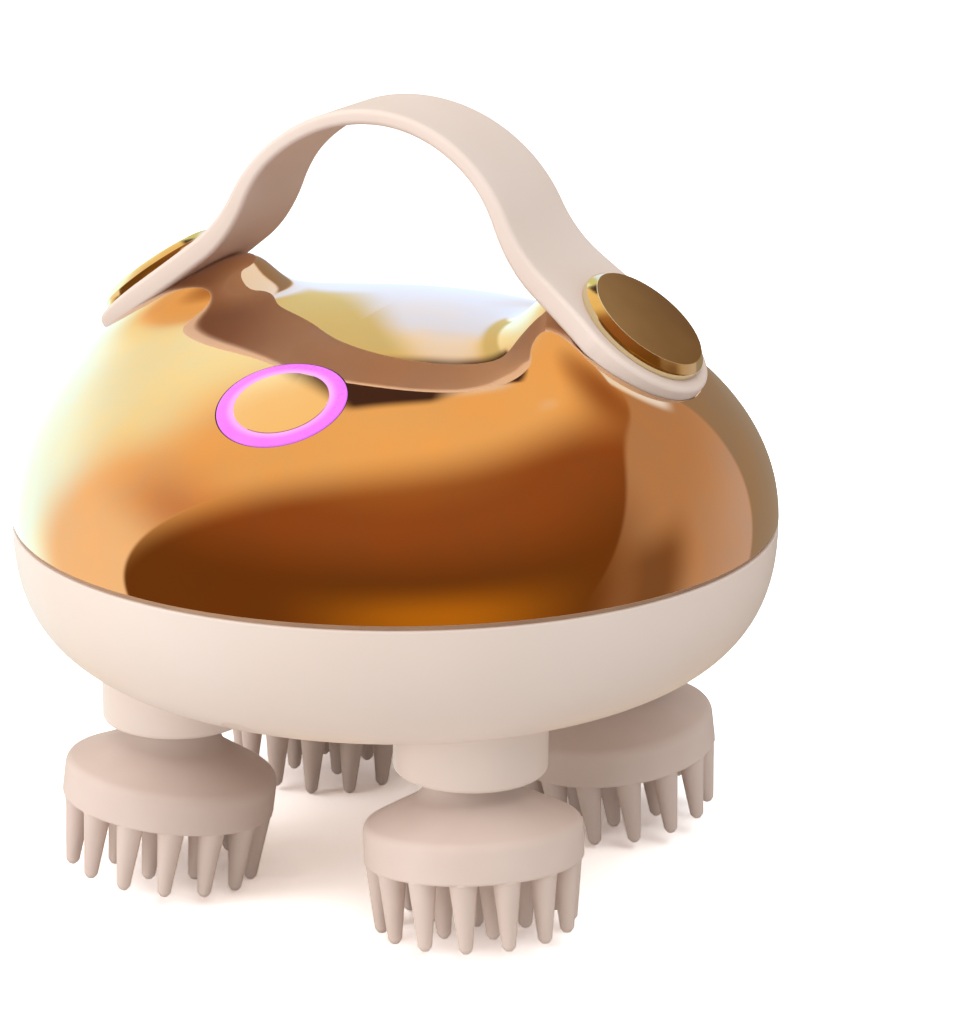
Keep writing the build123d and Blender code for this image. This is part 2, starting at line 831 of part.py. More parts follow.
def plate_screws():
    screw = disc(plate_screw_radius, plate_top - plate_screw_length + thread_end_gap, plate_top)
    screw += disc(plate_screw_head_radius, plate_top, plate_top + plate_screw_head_height)
    return [around(plate_post_circle, angle) * screw for angle in quarter_angles]


def gear_motor():
    can_bottom = plate_top + gearbox_height
    body = disc(gearbox_radius, plate_top, can_bottom)
    body += disc(motor_radius, can_bottom, can_bottom + motor_height)
    body += disc(motor_boss_radius, plate_bottom + open_gap, plate_top)
    tab_top = can_bottom + motor_height + motor_tab_height
    for side in (1, -1):
        tab = block(motor_tab_width, motor_tab_thickness, can_bottom, tab_top)
        body += Pos(0, side * motor_tab_offset, 0) * tab
        hole_top = plate_top + motor_screw_reach + thread_end_gap
        hole = disc(motor_screw_radius + fit_clearance, plate_top, hole_top)
        body -= Pos(0, side * motor_screw_offset, 0) * hole
    shaft_hole = disc(motor_shaft_radius + running_clearance, plate_bottom, plate_top + motor_shaft_seat)
    return motor_place() * (body - shaft_hole)


def motor_screws():
    screw = disc(motor_screw_radius, plate_bottom, plate_top + motor_screw_reach)
    screw += disc(motor_screw_head_radius, plate_bottom - motor_screw_head_height, plate_bottom)
    return [motor_place() * Pos(0, side * motor_screw_offset, 0) * screw for side in (1, -1)]


def motor_shaft():
    return motor_place() * disc(motor_shaft_radius, hub_bottom, plate_top + motor_shaft_seat - part_gap)


def motor_pinion():
    body = Rot(Z=mesh_turn(pinion_teeth, 180)) * gear(pinion_teeth)
    return motor_place() * (body - disc(motor_shaft_radius + fit_clearance, gear_bottom, gear_top))


# ---------------------------------------------------------------- power and control
def battery_pad():
    length = battery_length - 2 * pad_inset
    width = battery_width - 2 * pad_inset
    return Pos(battery_x, 0, 0) * block(length, width, plate_top, plate_top + pad_thickness)


def battery():
    bottom = plate_top + pad_thickness
    cell = block(battery_length, battery_width, bottom, bottom + battery_height)
    cell = fillet(cell.edges().filter_by(Axis.Z), battery_edge_radius)
    return Pos(battery_x, 0, 0) * cell


def control_board():
    bottom = plate_top + board_standoff
    top = bottom + board_thickness
    board = Pos(battery_x, 0, 0) * block(board_length, board_width, bottom, top)
    for spot in board_holes():
        board -= spot * disc(board_screw_radius + part_gap, bottom, top)
    for x, y, length, width in board_chips:
        board += Pos(battery_x + x, y, 0) * block(length, width, top, top + chip_height)
    return board


def board_screws():
    head_bottom_z = plate_top + board_standoff + board_thickness
    screw_end = head_bottom_z - board_screw_length + thread_end_gap
    screw = disc(board_screw_radius, screw_end, head_bottom_z)
    screw += disc(board_screw_head_radius, head_bottom_z, head_bottom_z + board_screw_head_height)
    return [spot * screw for spot in board_holes()]


def shell_screws():
    head_end = shell_screw_seat - shell_screw_head_height
    screw = disc(shell_screw_head_radius, head_end, shell_screw_seat)
    screw += disc(shell_screw_radius, shell_screw_seat, shell_screw_reach)
    return [around(shell_screw_circle, angle) * screw for angle in quarter_angles]


# ---------------------------------------------------------------- write the parts
os.makedirs("parts", exist_ok=True)

dome = dome_solid()
cavity = cavity_solid()
save("upper_shell", upper_shell(dome, cavity))
save("lower_shell", lower_shell())
save("seam_gasket", seam_gasket())
save("shell_screws", Compound(shell_screws()))
save("screw_plugs", Compound(screw_plugs()))

save("strap", strap())
save("cap_right", cap(1))
save("cap_left", cap(-1))
save("cap_screws", Compound(cap_screws()))

save("button_cap", button_cap())
save("light_ring", light_ring())
save("button_seal", button_seal())
save("button_board", button_board())
save("ring_leds", Compound(ring_leds()))
save("tact_switch", tact_switch())

save("port_cover", port_cover())
save("usb_socket", usb_socket())
save("usb_board", usb_board())

save("drive_gear", drive_gear())
save("drive_axle", drive_axle())
for place, angle in head_angles.items():
    save(f"head_gear_{place}", head_gear(angle))
    save(f"output_shaft_{place}", output_shaft(angle))
    save(f"bush_{place}", bush(angle))
    save(f"shaft_seal_{place}", shaft_seal(angle))
    save(f"head_core_{place}", head_core(angle))
    save(f"massage_head_{place}", massage_head(angle))

save("gear_plate", gear_plate())
save("plate_screws", Compound(plate_screws()))
save("gear_motor", gear_motor())
save("motor_screws", Compound(motor_screws()))
save("motor_shaft", motor_shaft())
save("motor_pinion", motor_pinion())

save("battery", battery())
save("battery_pad", battery_pad())
save("control_board", control_board())
save("board_screws", Compound(board_screws()))
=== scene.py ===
import json
import math
import bmesh
import bpy
import numpy as np
from mathutils import Matrix, Vector


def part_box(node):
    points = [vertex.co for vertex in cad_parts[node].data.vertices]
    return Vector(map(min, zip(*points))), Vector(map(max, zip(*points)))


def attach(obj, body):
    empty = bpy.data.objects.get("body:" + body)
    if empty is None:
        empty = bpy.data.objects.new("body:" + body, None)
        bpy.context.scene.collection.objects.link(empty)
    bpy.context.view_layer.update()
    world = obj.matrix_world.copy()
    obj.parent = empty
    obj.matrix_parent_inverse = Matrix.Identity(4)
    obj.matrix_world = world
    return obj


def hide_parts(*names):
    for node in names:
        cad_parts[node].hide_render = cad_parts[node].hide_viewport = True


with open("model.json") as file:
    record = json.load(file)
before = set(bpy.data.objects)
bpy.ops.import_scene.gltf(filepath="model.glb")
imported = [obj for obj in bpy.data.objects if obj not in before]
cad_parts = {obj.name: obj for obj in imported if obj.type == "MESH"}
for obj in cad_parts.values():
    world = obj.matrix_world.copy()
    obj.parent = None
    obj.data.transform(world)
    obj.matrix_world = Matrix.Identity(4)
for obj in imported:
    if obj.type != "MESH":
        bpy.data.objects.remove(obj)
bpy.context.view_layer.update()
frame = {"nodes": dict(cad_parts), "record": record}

seamLow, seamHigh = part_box("seam_gasket")
seamHeight = (seamLow.z + seamHigh.z) / 2  # metres; every height below is in mm above the seam
slotOf = {row["node"]: row["material_slot"] for row in frame["record"]["subparts"]}
bodyOf = {n: body for body, nodes in frame["record"]["behaviour"]["bodies"].items() for n in nodes}
places = {"front_right": -45, "back_right": 45, "back_left": 135, "front_left": 225}
print("frame loaded:", len(frame["nodes"]), "nodes")


# shapes: small helpers

def roundedOutline(corners, steps=6):
    # (across, up, rounding) corners as a line of points. A rounding r is an arc that touches both sides
    # r / tan(half the corner's angle) away from the corner, about a centre r / sin(half) away.
    points = []
    for i, (across, up, r) in enumerate(corners):
        here = np.array([across, up], float)
        if r == 0:
            points.append(here)
            continue
        before = np.array(corners[i - 1][:2], float) - here
        after = np.array(corners[i + 1][:2], float) - here
        before, after = before / np.linalg.norm(before), after / np.linalg.norm(after)
        half = math.acos(np.clip(before @ after, -1, 1)) / 2
        centre = here + (before + after) / np.linalg.norm(before + after) * r / math.sin(half)
        start = here + before * r / math.tan(half) - centre
        end = here + after * r / math.tan(half) - centre
        first = math.atan2(start[1], start[0])
        sweep = (math.atan2(end[1], end[0]) - first + math.pi) % (2 * math.pi) - math.pi
        angles = first + sweep * np.linspace(0, 1, steps + 1)
        points.extend(centre + r * np.stack([np.cos(angles), np.sin(angles)], 1))
    return np.array(points)


def turned(outline, sectors):
    # Revolves (radius, height) points about Z: (r cos a, r sin a, z).
    angle = np.linspace(0, 2 * np.pi, sectors, endpoint=False)
    r, z = outline[:, :1], outline[:, 1:]
    return np.stack([r * np.cos(angle), r * np.sin(angle), z + 0 * angle], -1)


def slotShape(length, width, rows, sectors=64):
    # Rings of a round-ended oblong, one for each (inset, height) row: two half circles of radius
    # width/2 - inset about x = +-(length - width)/2. The last inset may shut it.
    angle = np.linspace(-np.pi / 2, 1.5 * np.pi, sectors, endpoint=False)
    centre = np.where(np.arange(sectors) <= sectors // 2, 1, -1) * (length - width) / 2
    inset, height = np.array(rows, float).T[:, :, None]
    radius = width / 2 - inset
    return np.stack([centre + radius * np.cos(angle), radius * np.sin(angle), height + 0 * angle], -1)


def turn(axis, degrees):
    # The rotation matrix about X, Y or Z.
    return np.array(Matrix.Rotation(math.radians(degrees), 3, axis))


def placed(points, origin, rotation):
    # Local points into the object's space: rotation times point, plus origin.
    return points @ rotation.T + np.array(origin)


def meshPiece(name, grids, sharp=32):
    # Joins grids of points (rows, columns, 3) in mm into one closed mesh: quads between neighbours, the
    # last column wrapped to the first, doubles at seams and poles merged, then normals made to point out.
    points, faces, start = [], [], 0
    for grid in grids:
        rows, columns = grid.shape[:2]
        index = np.arange(rows * columns).reshape(rows, columns) + start
        index = np.hstack([index, index[:, :1]])
        quads = np.stack([index[:-1, :-1], index[1:, :-1], index[1:, 1:], index[:-1, 1:]], -1)
        points.append(grid.reshape(-1, 3))
        faces.append(quads.reshape(-1, 4))
        start += rows * columns
    points = np.concatenate(points) * 0.001
    points[:, 2] += seamHeight
    mesh = bpy.data.meshes.new(name)
    mesh.from_pydata(points.tolist(), [], np.concatenate(faces).tolist())
    work = bmesh.new()
    work.from_mesh(mesh)
    bmesh.ops.remove_doubles(work, verts=work.verts, dist=2e-6)
    bmesh.ops.recalc_face_normals(work, faces=work.faces)
    work.to_mesh(mesh)
    work.free()
    mesh.shade_smooth()
    mesh.set_sharp_from_angle(angle=math.radians(sharp))
    piece = bpy.data.objects.new(name, mesh)
    bpy.context.scene.collection.objects.link(piece)
    return piece


def carve(piece, grids, operation="DIFFERENCE", sharp=32):
    # Cuts the grids' solid out of the piece, or joins it on, and keeps the result as the piece's mesh.
    tool = meshPiece("tool", grids)
    step = piece.modifiers.new("carve", "BOOLEAN")
    step.operation, step.solver, step.object = operation, "EXACT", tool
    result = bpy.data.meshes.new_from_object(piece.evaluated_get(bpy.context.evaluated_depsgraph_get()))
    piece.modifiers.clear()
    old, piece.data = piece.data, result
    result.name = piece.name
    bpy.data.meshes.remove(old)
    bpy.data.meshes.remove(tool.data)
    result.shade_smooth()
    result.set_sharp_from_angle(angle=math.radians(sharp))


def smoothOn(piece, surface, tolerance=0.03, agree=0.9):
    # Corners of faces that lie on an exact surface, and face its way (facing . normal > agree), take that
    # surface's own normal, so a mirror finish shows no facets. The surface gives a distance in mm and a
    # normal for each point.
    mesh = piece.data
    co = np.empty(len(mesh.vertices) * 3)
    mesh.vertices.foreach_get("co", co)
    co = co.reshape(-1, 3) * 1000
    co[:, 2] -= seamHeight * 1000
    distance, normal = surface(co)
    corner = np.empty(len(mesh.loops), int)
    mesh.loops.foreach_get("vertex_index", corner)
    start, total = np.empty(len(mesh.polygons), int), np.empty(len(mesh.polygons), int)
    mesh.polygons.foreach_get("loop_start", start)
    mesh.polygons.foreach_get("loop_total", total)
    facing = np.empty(len(mesh.polygons) * 3)
    mesh.polygons.foreach_get("normal", facing)
    facing = np.repeat(facing.reshape(-1, 3), total, 0)
    near = np.minimum.reduceat((np.abs(distance) < tolerance)[corner].astype(int), start)
    near = np.repeat(near, total).astype(bool) & ((facing * normal[corner]).sum(1) > agree)
    normals = np.empty(len(mesh.loops) * 3)
    mesh.corner_normals.foreach_get("vector", normals)
    normals = normals.reshape(-1, 3)
    normals[near] = normal[corner][near]
    mesh.normals_split_custom_set(normals.tolist())


# materials: small helpers

def linear(hexColour):
    # sRGB to linear: c / 12.92 up to 0.04045, else ((c + 0.055) / 1.055) ^ 2.4.
    srgb = [int(hexColour[i:i + 2], 16) / 255 for i in (1, 3, 5)]
    return tuple(c / 12.92 if c <= 0.04045 else ((c + 0.055) / 1.055) ** 2.4 for c in srgb) + (1.0,)


def addNode(tree, kind, settings=None, inputs=None):
    # Adds a node, sets its properties, then fills its inputs: an output is linked, a value is set.
    node = tree.nodes.new(kind)
    for key, value in (settings or {}).items():
        setattr(node, key, value)
    for key, value in (inputs or {}).items():
        if isinstance(value, bpy.types.NodeSocket):
            tree.links.new(value, node.inputs[key])
        else:
            node.inputs[key].default_value = value
    return node


# Each look: colour and tone are the two shades it drifts between, over toneSize mm; grain is the size of
# the surface's texture in mm and depth its height in mm; roughness runs from the first to the second;
# stretch squeezes the grain along an axis into lines. The lit rim fades between two radii, in mm.
looks = {
    # vacuum-plated ABS under an amber lacquer: a clean mirror, tinted, with a clear hard skin
    "plated_shell": dict(
        name="platedAbsAmberLacquer", colour="#F7CC98", tone="#F4C48C", toneSize=40, metallic=1.0,
        grain=9.0, depth=0.0006, roughness=(0.015, 0.035), coat=1.0, coatRoughness=0.01),
    # the same amber plating in a paler colour, a lighter mirror: a painted brighter reflection on the button,
    # which mirrors the same surroundings as the shell
    "plated_button": dict(
        name="platedAbsButtonPaintedBright", colour="#FFF3DE", tone="#FFEED2", toneSize=12, metallic=1.0,
        grain=5.0, depth=0.0005, roughness=(0.02, 0.05), coat=1.0, coatRoughness=0.02),
    # satin moulded ABS: even, soft highlight, very fine spark-eroded grain
    "lower_shell": dict(
        name="satinMouldedAbs", colour="#EFDFD4", tone="#EBD9CD", toneSize=45, grain=0.5, depth=0.004,
        roughness=(0.38, 0.5)),
    # small plugs of the same ABS: a shade darker and flatter, so that they can be found
    "screw_cover": dict(
        name="satinMouldedAbsPlug", colour="#EAD6C9", tone="#E4CFC1", toneSize=8, grain=0.5, depth=0.004,
        roughness=(0.42, 0.55)),
    # moulded silicone: matt and soft, with hardly any highlight
    "strap_silicone": dict(
        name="satinSiliconeStrap", colour="#F0DFD4", tone="#EBD8CB", toneSize=30, grain=0.35, depth=0.006,
        roughness=(0.58, 0.7), specular=0.3),
    # softer moulded silicone: darker, and a little rougher
    "head_silicone": dict(
        name="mouldedSiliconeHead", colour="#E6D2C7", tone="#DFCABE", toneSize=14, grain=0.4, depth=0.008,
        roughness=(0.58, 0.72), specular=0.3),
    # anodised aluminium, turned: fine rings that spread the light; drawn coarser than real, so that they show
    "gold_cap": dict(
        name="turnedAnodisedAluminium", colour="#A87E44", tone="#9E753E", toneSize=9, metallic=1.0,
        grain=0.3, depth=0.0015, roughness=(0.3, 0.38), rings=True),
    # aluminium, diamond cut after anodising: a pale bright line round the cap
    "capEdge": dict(
        name="brightCutAluminium", colour="#F2E8C0", tone="#EADFB2", toneSize=7, metallic=1.0, grain=0.3,
        depth=0.001, roughness=(0.08, 0.16)),
    # milky acrylic lit from behind, paler at its inner rim where the light leaks past the button
    "light_ring": dict(
        name="litAcrylicDiffuser", colour="#A95CC4", tone="#9C50B8", toneSize=4, grain=0.6, depth=0.002,
        roughness=(0.25, 0.35), glow="#C45CCB", rimGlow="#D9A3DC", rimReach=(7.9, 6.6), glowStrength=1.0),
    # moulded gasket: a dull tan line that parts the two shells
    "seam_gasket": dict(
        name="mouldedTanGasket", colour="#C4A284", tone="#B8957A", toneSize=8, grain=0.3, depth=0.006,
        roughness=(0.5, 0.65)),
    # moulded rubber: near black and dull, so that gaps read as gaps
    "seal_rubber": dict(
        name="mouldedBlackRubber", colour="#241F1E", tone="#1B1716", toneSize=6, grain=0.3, depth=0.006,
        roughness=(0.55, 0.7)),
    # moulded rubber, smoother: brown with a soft sheen beside the plating
    "port_rubber": dict(
        name="mouldedBrownRubber", colour="#7A4E2C", tone="#6D4426", toneSize=5, grain=0.3, depth=0.006,
        roughness=(0.4, 0.55)),
    # glass-fibre board under solder mask: green, half glossy, with the weave's slight waviness
    "circuit_board": dict(
        name="solderMaskedGlassBoard", colour="#14562C", tone="#0F4623", toneSize=5, grain=0.6, depth=0.01,
        roughness=(0.25, 0.4)),
    # moulded epoxy lens: pale, smooth and glossy
    "led_body": dict(
        name="mouldedLedLens", colour="#EDE6CC", tone="#E2D9B8", toneSize=1.5, grain=0.3, depth=0.002,
        roughness=(0.15, 0.25)),
    # moulded nylon: black, with a dull even face
    "switch_body": dict(
        name="mouldedNylonSwitch", colour="#2A2A2B", tone="#202021", toneSize=3, grain=0.25, depth=0.004,
        roughness=(0.4, 0.55)),
    # nickel-plated sheet steel: warm grey, with the drawn sheet's fine lines
    "socket_steel": dict(
        name="nickelPlatedSteel", colour="#C9C7C2", tone="#BDBBB5", toneSize=4, metallic=1.0, grain=0.25,
        depth=0.002, roughness=(0.2, 0.32), stretch=(1, 1, 8)),
    # zinc-plated steel: bluish grey and slightly cloudy
    "screw_steel": dict(
        name="zincPlatedSteel", colour="#B7B8B9", tone="#A5A7AA", toneSize=2, metallic=1.0, grain=0.25,
        depth=0.003, roughness=(0.3, 0.45)),
    # centreless-ground steel: bright, with lines round the shaft
    "shaft_steel": dict(
        name="groundSteel", colour="#B9B9BA", tone="#ABACAE", toneSize=5, metallic=1.0, grain=0.2,
        depth=0.002, roughness=(0.18, 0.3), stretch=(8, 8, 1)),
    # moulded acetal: milk white, waxy and slippery
    "gear_acetal": dict(
        name="mouldedAcetal", colour="#EBE8DD", tone="#E3DFD1", toneSize=8, grain=0.3, depth=0.003,
        roughness=(0.3, 0.42)),
    # cut brass: yellow, with the cutter's lines along the teeth
    "pinion_brass": dict(
        name="cutBrass", colour="#D0AE62", tone="#C09B4F", toneSize=3, metallic=1.0, grain=0.2,
        depth=0.003, roughness=(0.2, 0.35), stretch=(1, 1, 6)),
    # sintered bronze: brown and porous, so rough for a metal
    "bearing_bronze": dict(
        name="sinteredBronze", colour="#A5834F", tone="#8F6E3D", toneSize=2, metallic=1.0, grain=0.3,
        depth=0.012, roughness=(0.4, 0.6)),
    # glass-filled nylon: dark grey and matt, with fibres near the surface
    "inner_plastic": dict(
        name="glassFilledNylon", colour="#38383A", tone="#2D2D2F", toneSize=6, grain=0.5, depth=0.01,
        roughness=(0.5, 0.65)),
    # nickel-plated drawn can: bright, with lines round it
    "motor_can": dict(
        name="nickelPlatedCan", colour="#C2C2C3", tone="#B2B3B5", toneSize=10, metallic=1.0, grain=0.3,
        depth=0.002, roughness=(0.2, 0.3), stretch=(8, 8, 1)),
    # shrunk PVC film: glossy blue with faint wrinkles
    "cell_wrap": dict(
        name="shrinkFilmWrap", colour="#2F639F", tone="#285890", toneSize=14, grain=1.5, depth=0.01,
        roughness=(0.2, 0.35)),
    # closed-cell foam: black, with cells that take all the shine
    "foam_pad": dict(
        name="closedCellFoam", colour="#2B2B2B", tone="#1F1F1F", toneSize=2, grain=0.5, depth=0.08,
        roughness=(0.8, 0.95)),
    # moulded nylon: the silicone's colour, but harder and a little shinier
    "core_plastic": dict(
        name="mouldedNylon", colour="#DCC9BD", tone="#D3BEB1", toneSize=6, grain=0.4, depth=0.006,
        roughness=(0.4, 0.55)),
}


def makeFinish(look, centre=(0, 0, 0), rotation=(0, 0, 0)):
    # Colour drifts slowly between two shades, and a finer grain drives the roughness and a shallow bump.
    # With rings, the grain is a wave of the distance from the local Z axis, as a lathe leaves it.
    material = bpy.data.materials.new(look["name"])
    material.use_nodes = True
    tree = material.node_tree
    tree.nodes.clear()
    place = addNode(tree, "ShaderNodeTexCoord")
    local = addNode(tree, "ShaderNodeMapping", {"vector_type": "TEXTURE"},
                    {"Vector": place.outputs["Object"], "Location": centre, "Rotation": rotation})
    drift = addNode(tree, "ShaderNodeTexNoise", {}, {
        "Vector": local.outputs[0], "Detail": 2.0, "Scale": 1000 / look["toneSize"]})
    share = addNode(tree, "ShaderNodeMapRange", {}, {
        "Value": drift.outputs["Fac"], "From Min": 0.35, "From Max": 0.65})
    shade = addNode(tree, "ShaderNodeMix", {"data_type": "RGBA"}, {
        0: share.outputs[0], 6: linear(look["colour"]), 7: linear(look["tone"])})
    if look.get("rings"):
        grain = addNode(tree, "ShaderNodeTexWave", {"wave_type": "RINGS", "rings_direction": "Z"}, {
            "Vector": local.outputs[0], "Distortion": 0.15,
            "Scale": 1000 / look["grain"] * math.pi / 10})  # a wave repeats every pi / (10 scale) metres
    else:
        drawn = addNode(tree, "ShaderNodeMapping", {}, {
            "Vector": local.outputs[0], "Scale": look.get("stretch", (1, 1, 1))})
        grain = addNode(tree, "ShaderNodeTexNoise", {}, {
            "Vector": drawn.outputs[0], "Detail": 3.0, "Scale": 1000 / look["grain"]})
    rough = addNode(tree, "ShaderNodeMapRange", {}, {
        "Value": grain.outputs["Fac"], "From Min": 0.3, "From Max": 0.7,
        "To Min": look["roughness"][0], "To Max": look["roughness"][1]})
    bump = addNode(tree, "ShaderNodeBump", {}, {
        "Height": grain.outputs["Fac"], "Strength": 1.0, "Distance": look["depth"] * 0.001})
    inputs = {"Base Color": shade.outputs[2], "Roughness": rough.outputs[0], "Normal": bump.outputs[0],
              "Metallic": look.get("metallic", 0.0), "Coat Weight": look.get("coat", 0.0),
              "Coat Roughness": look.get("coatRoughness", 0.03),
              "Specular IOR Level": look.get("specular", 0.5)}
    if "glow" in look:
        axes = addNode(tree, "ShaderNodeSeparateXYZ", {}, {0: local.outputs[0]})
        flat = addNode(tree, "ShaderNodeCombineXYZ", {}, {0: axes.outputs[0], 1: axes.outputs[1]})
        reach = addNode(tree, "ShaderNodeVectorMath", {"operation": "LENGTH"}, {0: flat.outputs[0]})
        rim = addNode(tree, "ShaderNodeMapRange", {"interpolation_type": "SMOOTHSTEP"}, {
            "Value": reach.outputs["Value"],
            "From Min": look["rimReach"][0] / 1000, "From Max": look["rimReach"][1] / 1000})
        glow = addNode(tree, "ShaderNodeMix", {"data_type": "RGBA"}, {
            0: rim.outputs[0], 6: linear(look["glow"]), 7: linear(look["rimGlow"])})
        inputs.update({"Emission Color": glow.outputs[2], "Emission Strength": look["glowStrength"]})
    shader = addNode(tree, "ShaderNodeBsdfPrincipled", {}, inputs)
    addNode(tree, "ShaderNodeOutputMaterial", {}, {"Surface": shader.outputs[0]})
    return material


centred = ("gold_cap", "capEdge", "light_ring")  # made further down, each centred on its own piece
finishes = {slot: makeFinish(look) for slot, look in looks.items() if slot not in centred}
for name, node in frame["nodes"].items():  # solids that stay as they are get a finish by name or slot
    finish = finishes.get(name, finishes.get(slotOf[name]))
    if finish:
        for holder in node.material_slots:
            holder.material = finish
print("finishes made:", len(finishes))


def finishPiece(piece, node, materials=None):
    # Gives a new piece its finish, and says what it rides on and which solid it replaces.
    for material in materials or [finishes[slotOf[node]]]:
        piece.data.materials.append(material)
    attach(piece, bodyOf[node])
    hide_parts(node)


# the upper shell
dome = {"radius": 55.0, "height": 30.6, "hornRise": 9.2, "ridgeStart": 29.7, "ridgeBlend": 11.7,
        "ridgeReach": 29.0, "ridgePower": 2.5, "noseRadius": 14.0, "noseBlend": 3.0, "seatX": 36.25,
        "seatSink": 1.02, "seatTilt": 38.0, "seatRadius": 9.6, "recessMargin": 0.15, "recessReach": 15.0,
        "seatDrop": 1.1, "overlap": 0.02, "cutReach": 9.0, "cutTop": 1.0, "seamHalf": 0.3, "edge": 0.25,
        "wall": 2.2, "rings": 110, "sectors": 320, "buttonY": -34.1, "buttonHole": 9.15, "portY": 40.0,
        "portLength": 12.4, "portWidth": 6.6, "portDepth": 1.0, "socketLength": 9.5, "socketWidth": 3.9}


def domeTall(x, y):
    # Height of the ellipsoid's axis that applies over a place: height + hornRise * h, with
    # h = 1 - (1 - nose)(1 - ridge), nose = (1 - tanh((|(|x| - seatX, y)| - noseRadius) / noseBlend)) / 2 and
    # ridge = (1 + tanh((|x| - ridgeStart) / ridgeBlend)) / 2 * exp(-(|y| / ridgeReach) ^ ridgePower).
    side = np.abs(x)
    nose = 0.5 - 0.5 * np.tanh((np.hypot(side - dome["seatX"], y) - dome["noseRadius"]) / dome["noseBlend"])
    ridge = 0.5 + 0.5 * np.tanh((side - dome["ridgeStart"]) / dome["ridgeBlend"])
    ridge = ridge * np.exp(-((np.abs(y) / dome["ridgeReach"]) ** dome["ridgePower"]))
    return dome["height"] + dome["hornRise"] * (1 - (1 - nose) * (1 - ridge))


def domeHeight(x, y):
    # sqrt(1 - (x^2 + y^2) / radius^2) * domeTall.
    return np.sqrt(1 - (x * x + y * y) / dome["radius"] ** 2) * domeTall(x, y)


def domeSurface(p):
    # g = (x^2 + y^2)/radius^2 + (z/tall)^2 - 1 is zero on the dome. The distance is g / |grad g|, and the
    # normal is grad g.
    x, y, z = p.T
    step, tall = 0.01, domeTall(x, y)
    tallX = (domeTall(x + step, y) - domeTall(x - step, y)) / (2 * step)
    tallY = (domeTall(x, y + step) - domeTall(x, y - step)) / (2 * step)
    radius = dome["radius"] ** 2
    slope = np.stack([2 * x / radius - 2 * z * z * tallX / tall ** 3,
                      2 * y / radius - 2 * z * z * tallY / tall ** 3, 2 * z / tall ** 2], 1)
    size = np.linalg.norm(slope, axis=1)
    distance = ((x * x + y * y) / radius + (z / tall) ** 2 - 1) / size
    return np.where(z > 0, distance, 99), slope / size[:, None]


def raised(p, height):
    # The same surface, a little further out: distance - height.
    distance, normal = domeSurface(p)
    return distance - height, normal


def onDome(y):
    # Origin and rotation of a frame on the middle line, its Z along the surface's normal.
    step = 0.05
    rise = float(domeHeight(0.0, y + step) - domeHeight(0.0, y - step))
    return (0, y, float(domeHeight(0.0, y))), turn("X", math.degrees(math.atan(rise / (2 * step))))


def onSeat(side):
    # The same for a strap end's seat: seatSink under the horn's surface, leaning outwards by seatTilt.
    height = float(domeHeight(dome["seatX"], 0.0)) - dome["seatSink"]
    return (side * dome["seatX"], 0, height), turn("Y", side * dome["seatTilt"])


def domeGrid():
    # x = R sin t cos a, y = R sin t sin a, z = tall * cos t, down to the seam, then a small quarter round.
    around = np.linspace(0, 2 * np.pi, dome["sectors"], endpoint=False)
    lowest = dome["seamHalf"] + dome["edge"]
    rim = domeTall(dome["radius"] * np.cos(around), dome["radius"] * np.sin(around))
    down = np.linspace(0, 1, dome["rings"])[:, None] * np.arccos(lowest / rim)
    x = dome["radius"] * np.sin(down) * np.cos(around)
    y = dome["radius"] * np.sin(down) * np.sin(around)
    body = np.stack([x, y, domeTall(x, y) * np.cos(down)], -1)
    bend = np.radians([22.5, 45, 67.5, 90])[:, None]
    share = 1 - dome["edge"] * (1 - np.cos(bend)) / dome["radius"]
    edge = np.stack([x[-1] * share, y[-1] * share, lowest - dome["edge"] * np.sin(bend) + 0 * around], -1)
    floor = np.zeros((1, dome["sectors"], 3)) + [0, 0, dome["seamHalf"]]
    return np.concatenate([body, edge, floor])


def solidDisc(radius, low, high, sectors=96):
    # A rectangle of (0 to radius, low to high) revolved about Z.
    return turned(np.array([(0, low), (radius, low), (radius, high), (0, high)], float), sectors)


strap = {"thickness": 2.2, "edge": 0.75, "endRadius": 11.7, "waistWidth": 18.6, "topWidth": 15.4,
         "archRadius": 24.2, "footAngle": 64.0, "blendRadius": 20.0, "waistSlope": 0.11, "endSlope": 0.35,
         "thickenFrom": 17.0, "thickenTo": 28.0, "across": 45, "archRows": 48, "blendRows": 24,
         "seatRows": 22, "endRows": 30}


def strapWidth(x):
    # Half width by two cubic Hermite spans: crown (slope 0) to waist, and waist to the round end.
    ends = np.array([0, strap["archRadius"] * math.sin(math.radians(strap["footAngle"])), dome["seatX"]])
    width = np.array([strap["topWidth"] / 2, strap["waistWidth"] / 2, strap["endRadius"]])
    slope = np.array([0, strap["waistSlope"], strap["endSlope"]])
    span = np.clip(np.searchsorted(ends, x, "right") - 1, 0, 1)
    length = ends[span + 1] - ends[span]
    t = np.clip((x - ends[span]) / length, 0, 1)
    return ((2 * t ** 3 - 3 * t ** 2 + 1) * width[span] + (t ** 3 - 2 * t ** 2 + t) * length * slope[span]
            + (3 * t ** 2 - 2 * t ** 3) * width[span + 1] + (t ** 3 - t ** 2) * length * slope[span + 1])


def strapPad(low, high):
    # The strap's end as a flat pad in the frame of its seat, a margin wider all round: its two sides,
    # y = +-(half width + margin), and a half circle of endRadius + margin.
    tilt, margin = math.radians(dome["seatTilt"]), dome["recessMargin"]
    u = np.linspace(-dome["recessReach"], 0, 24)
    half = strapWidth(dome["seatX"] + strap["thickness"] * math.sin(tilt) + u * math.cos(tilt)) + margin
    bow = np.linspace(-np.pi / 2, np.pi / 2, 48)[1:-1]
    end = (strap["endRadius"] + margin) * np.stack([np.cos(bow), np.sin(bow)], 1)
    loop = np.concatenate([np.stack([u, -half], 1), end, np.stack([u, half], 1)[::-1]])
    rows = [(0, low), (1, low), (1, high), (0, high)]
    return np.stack([np.hstack([loop * size, np.full((len(loop), 1), z)]) for size, z in rows])


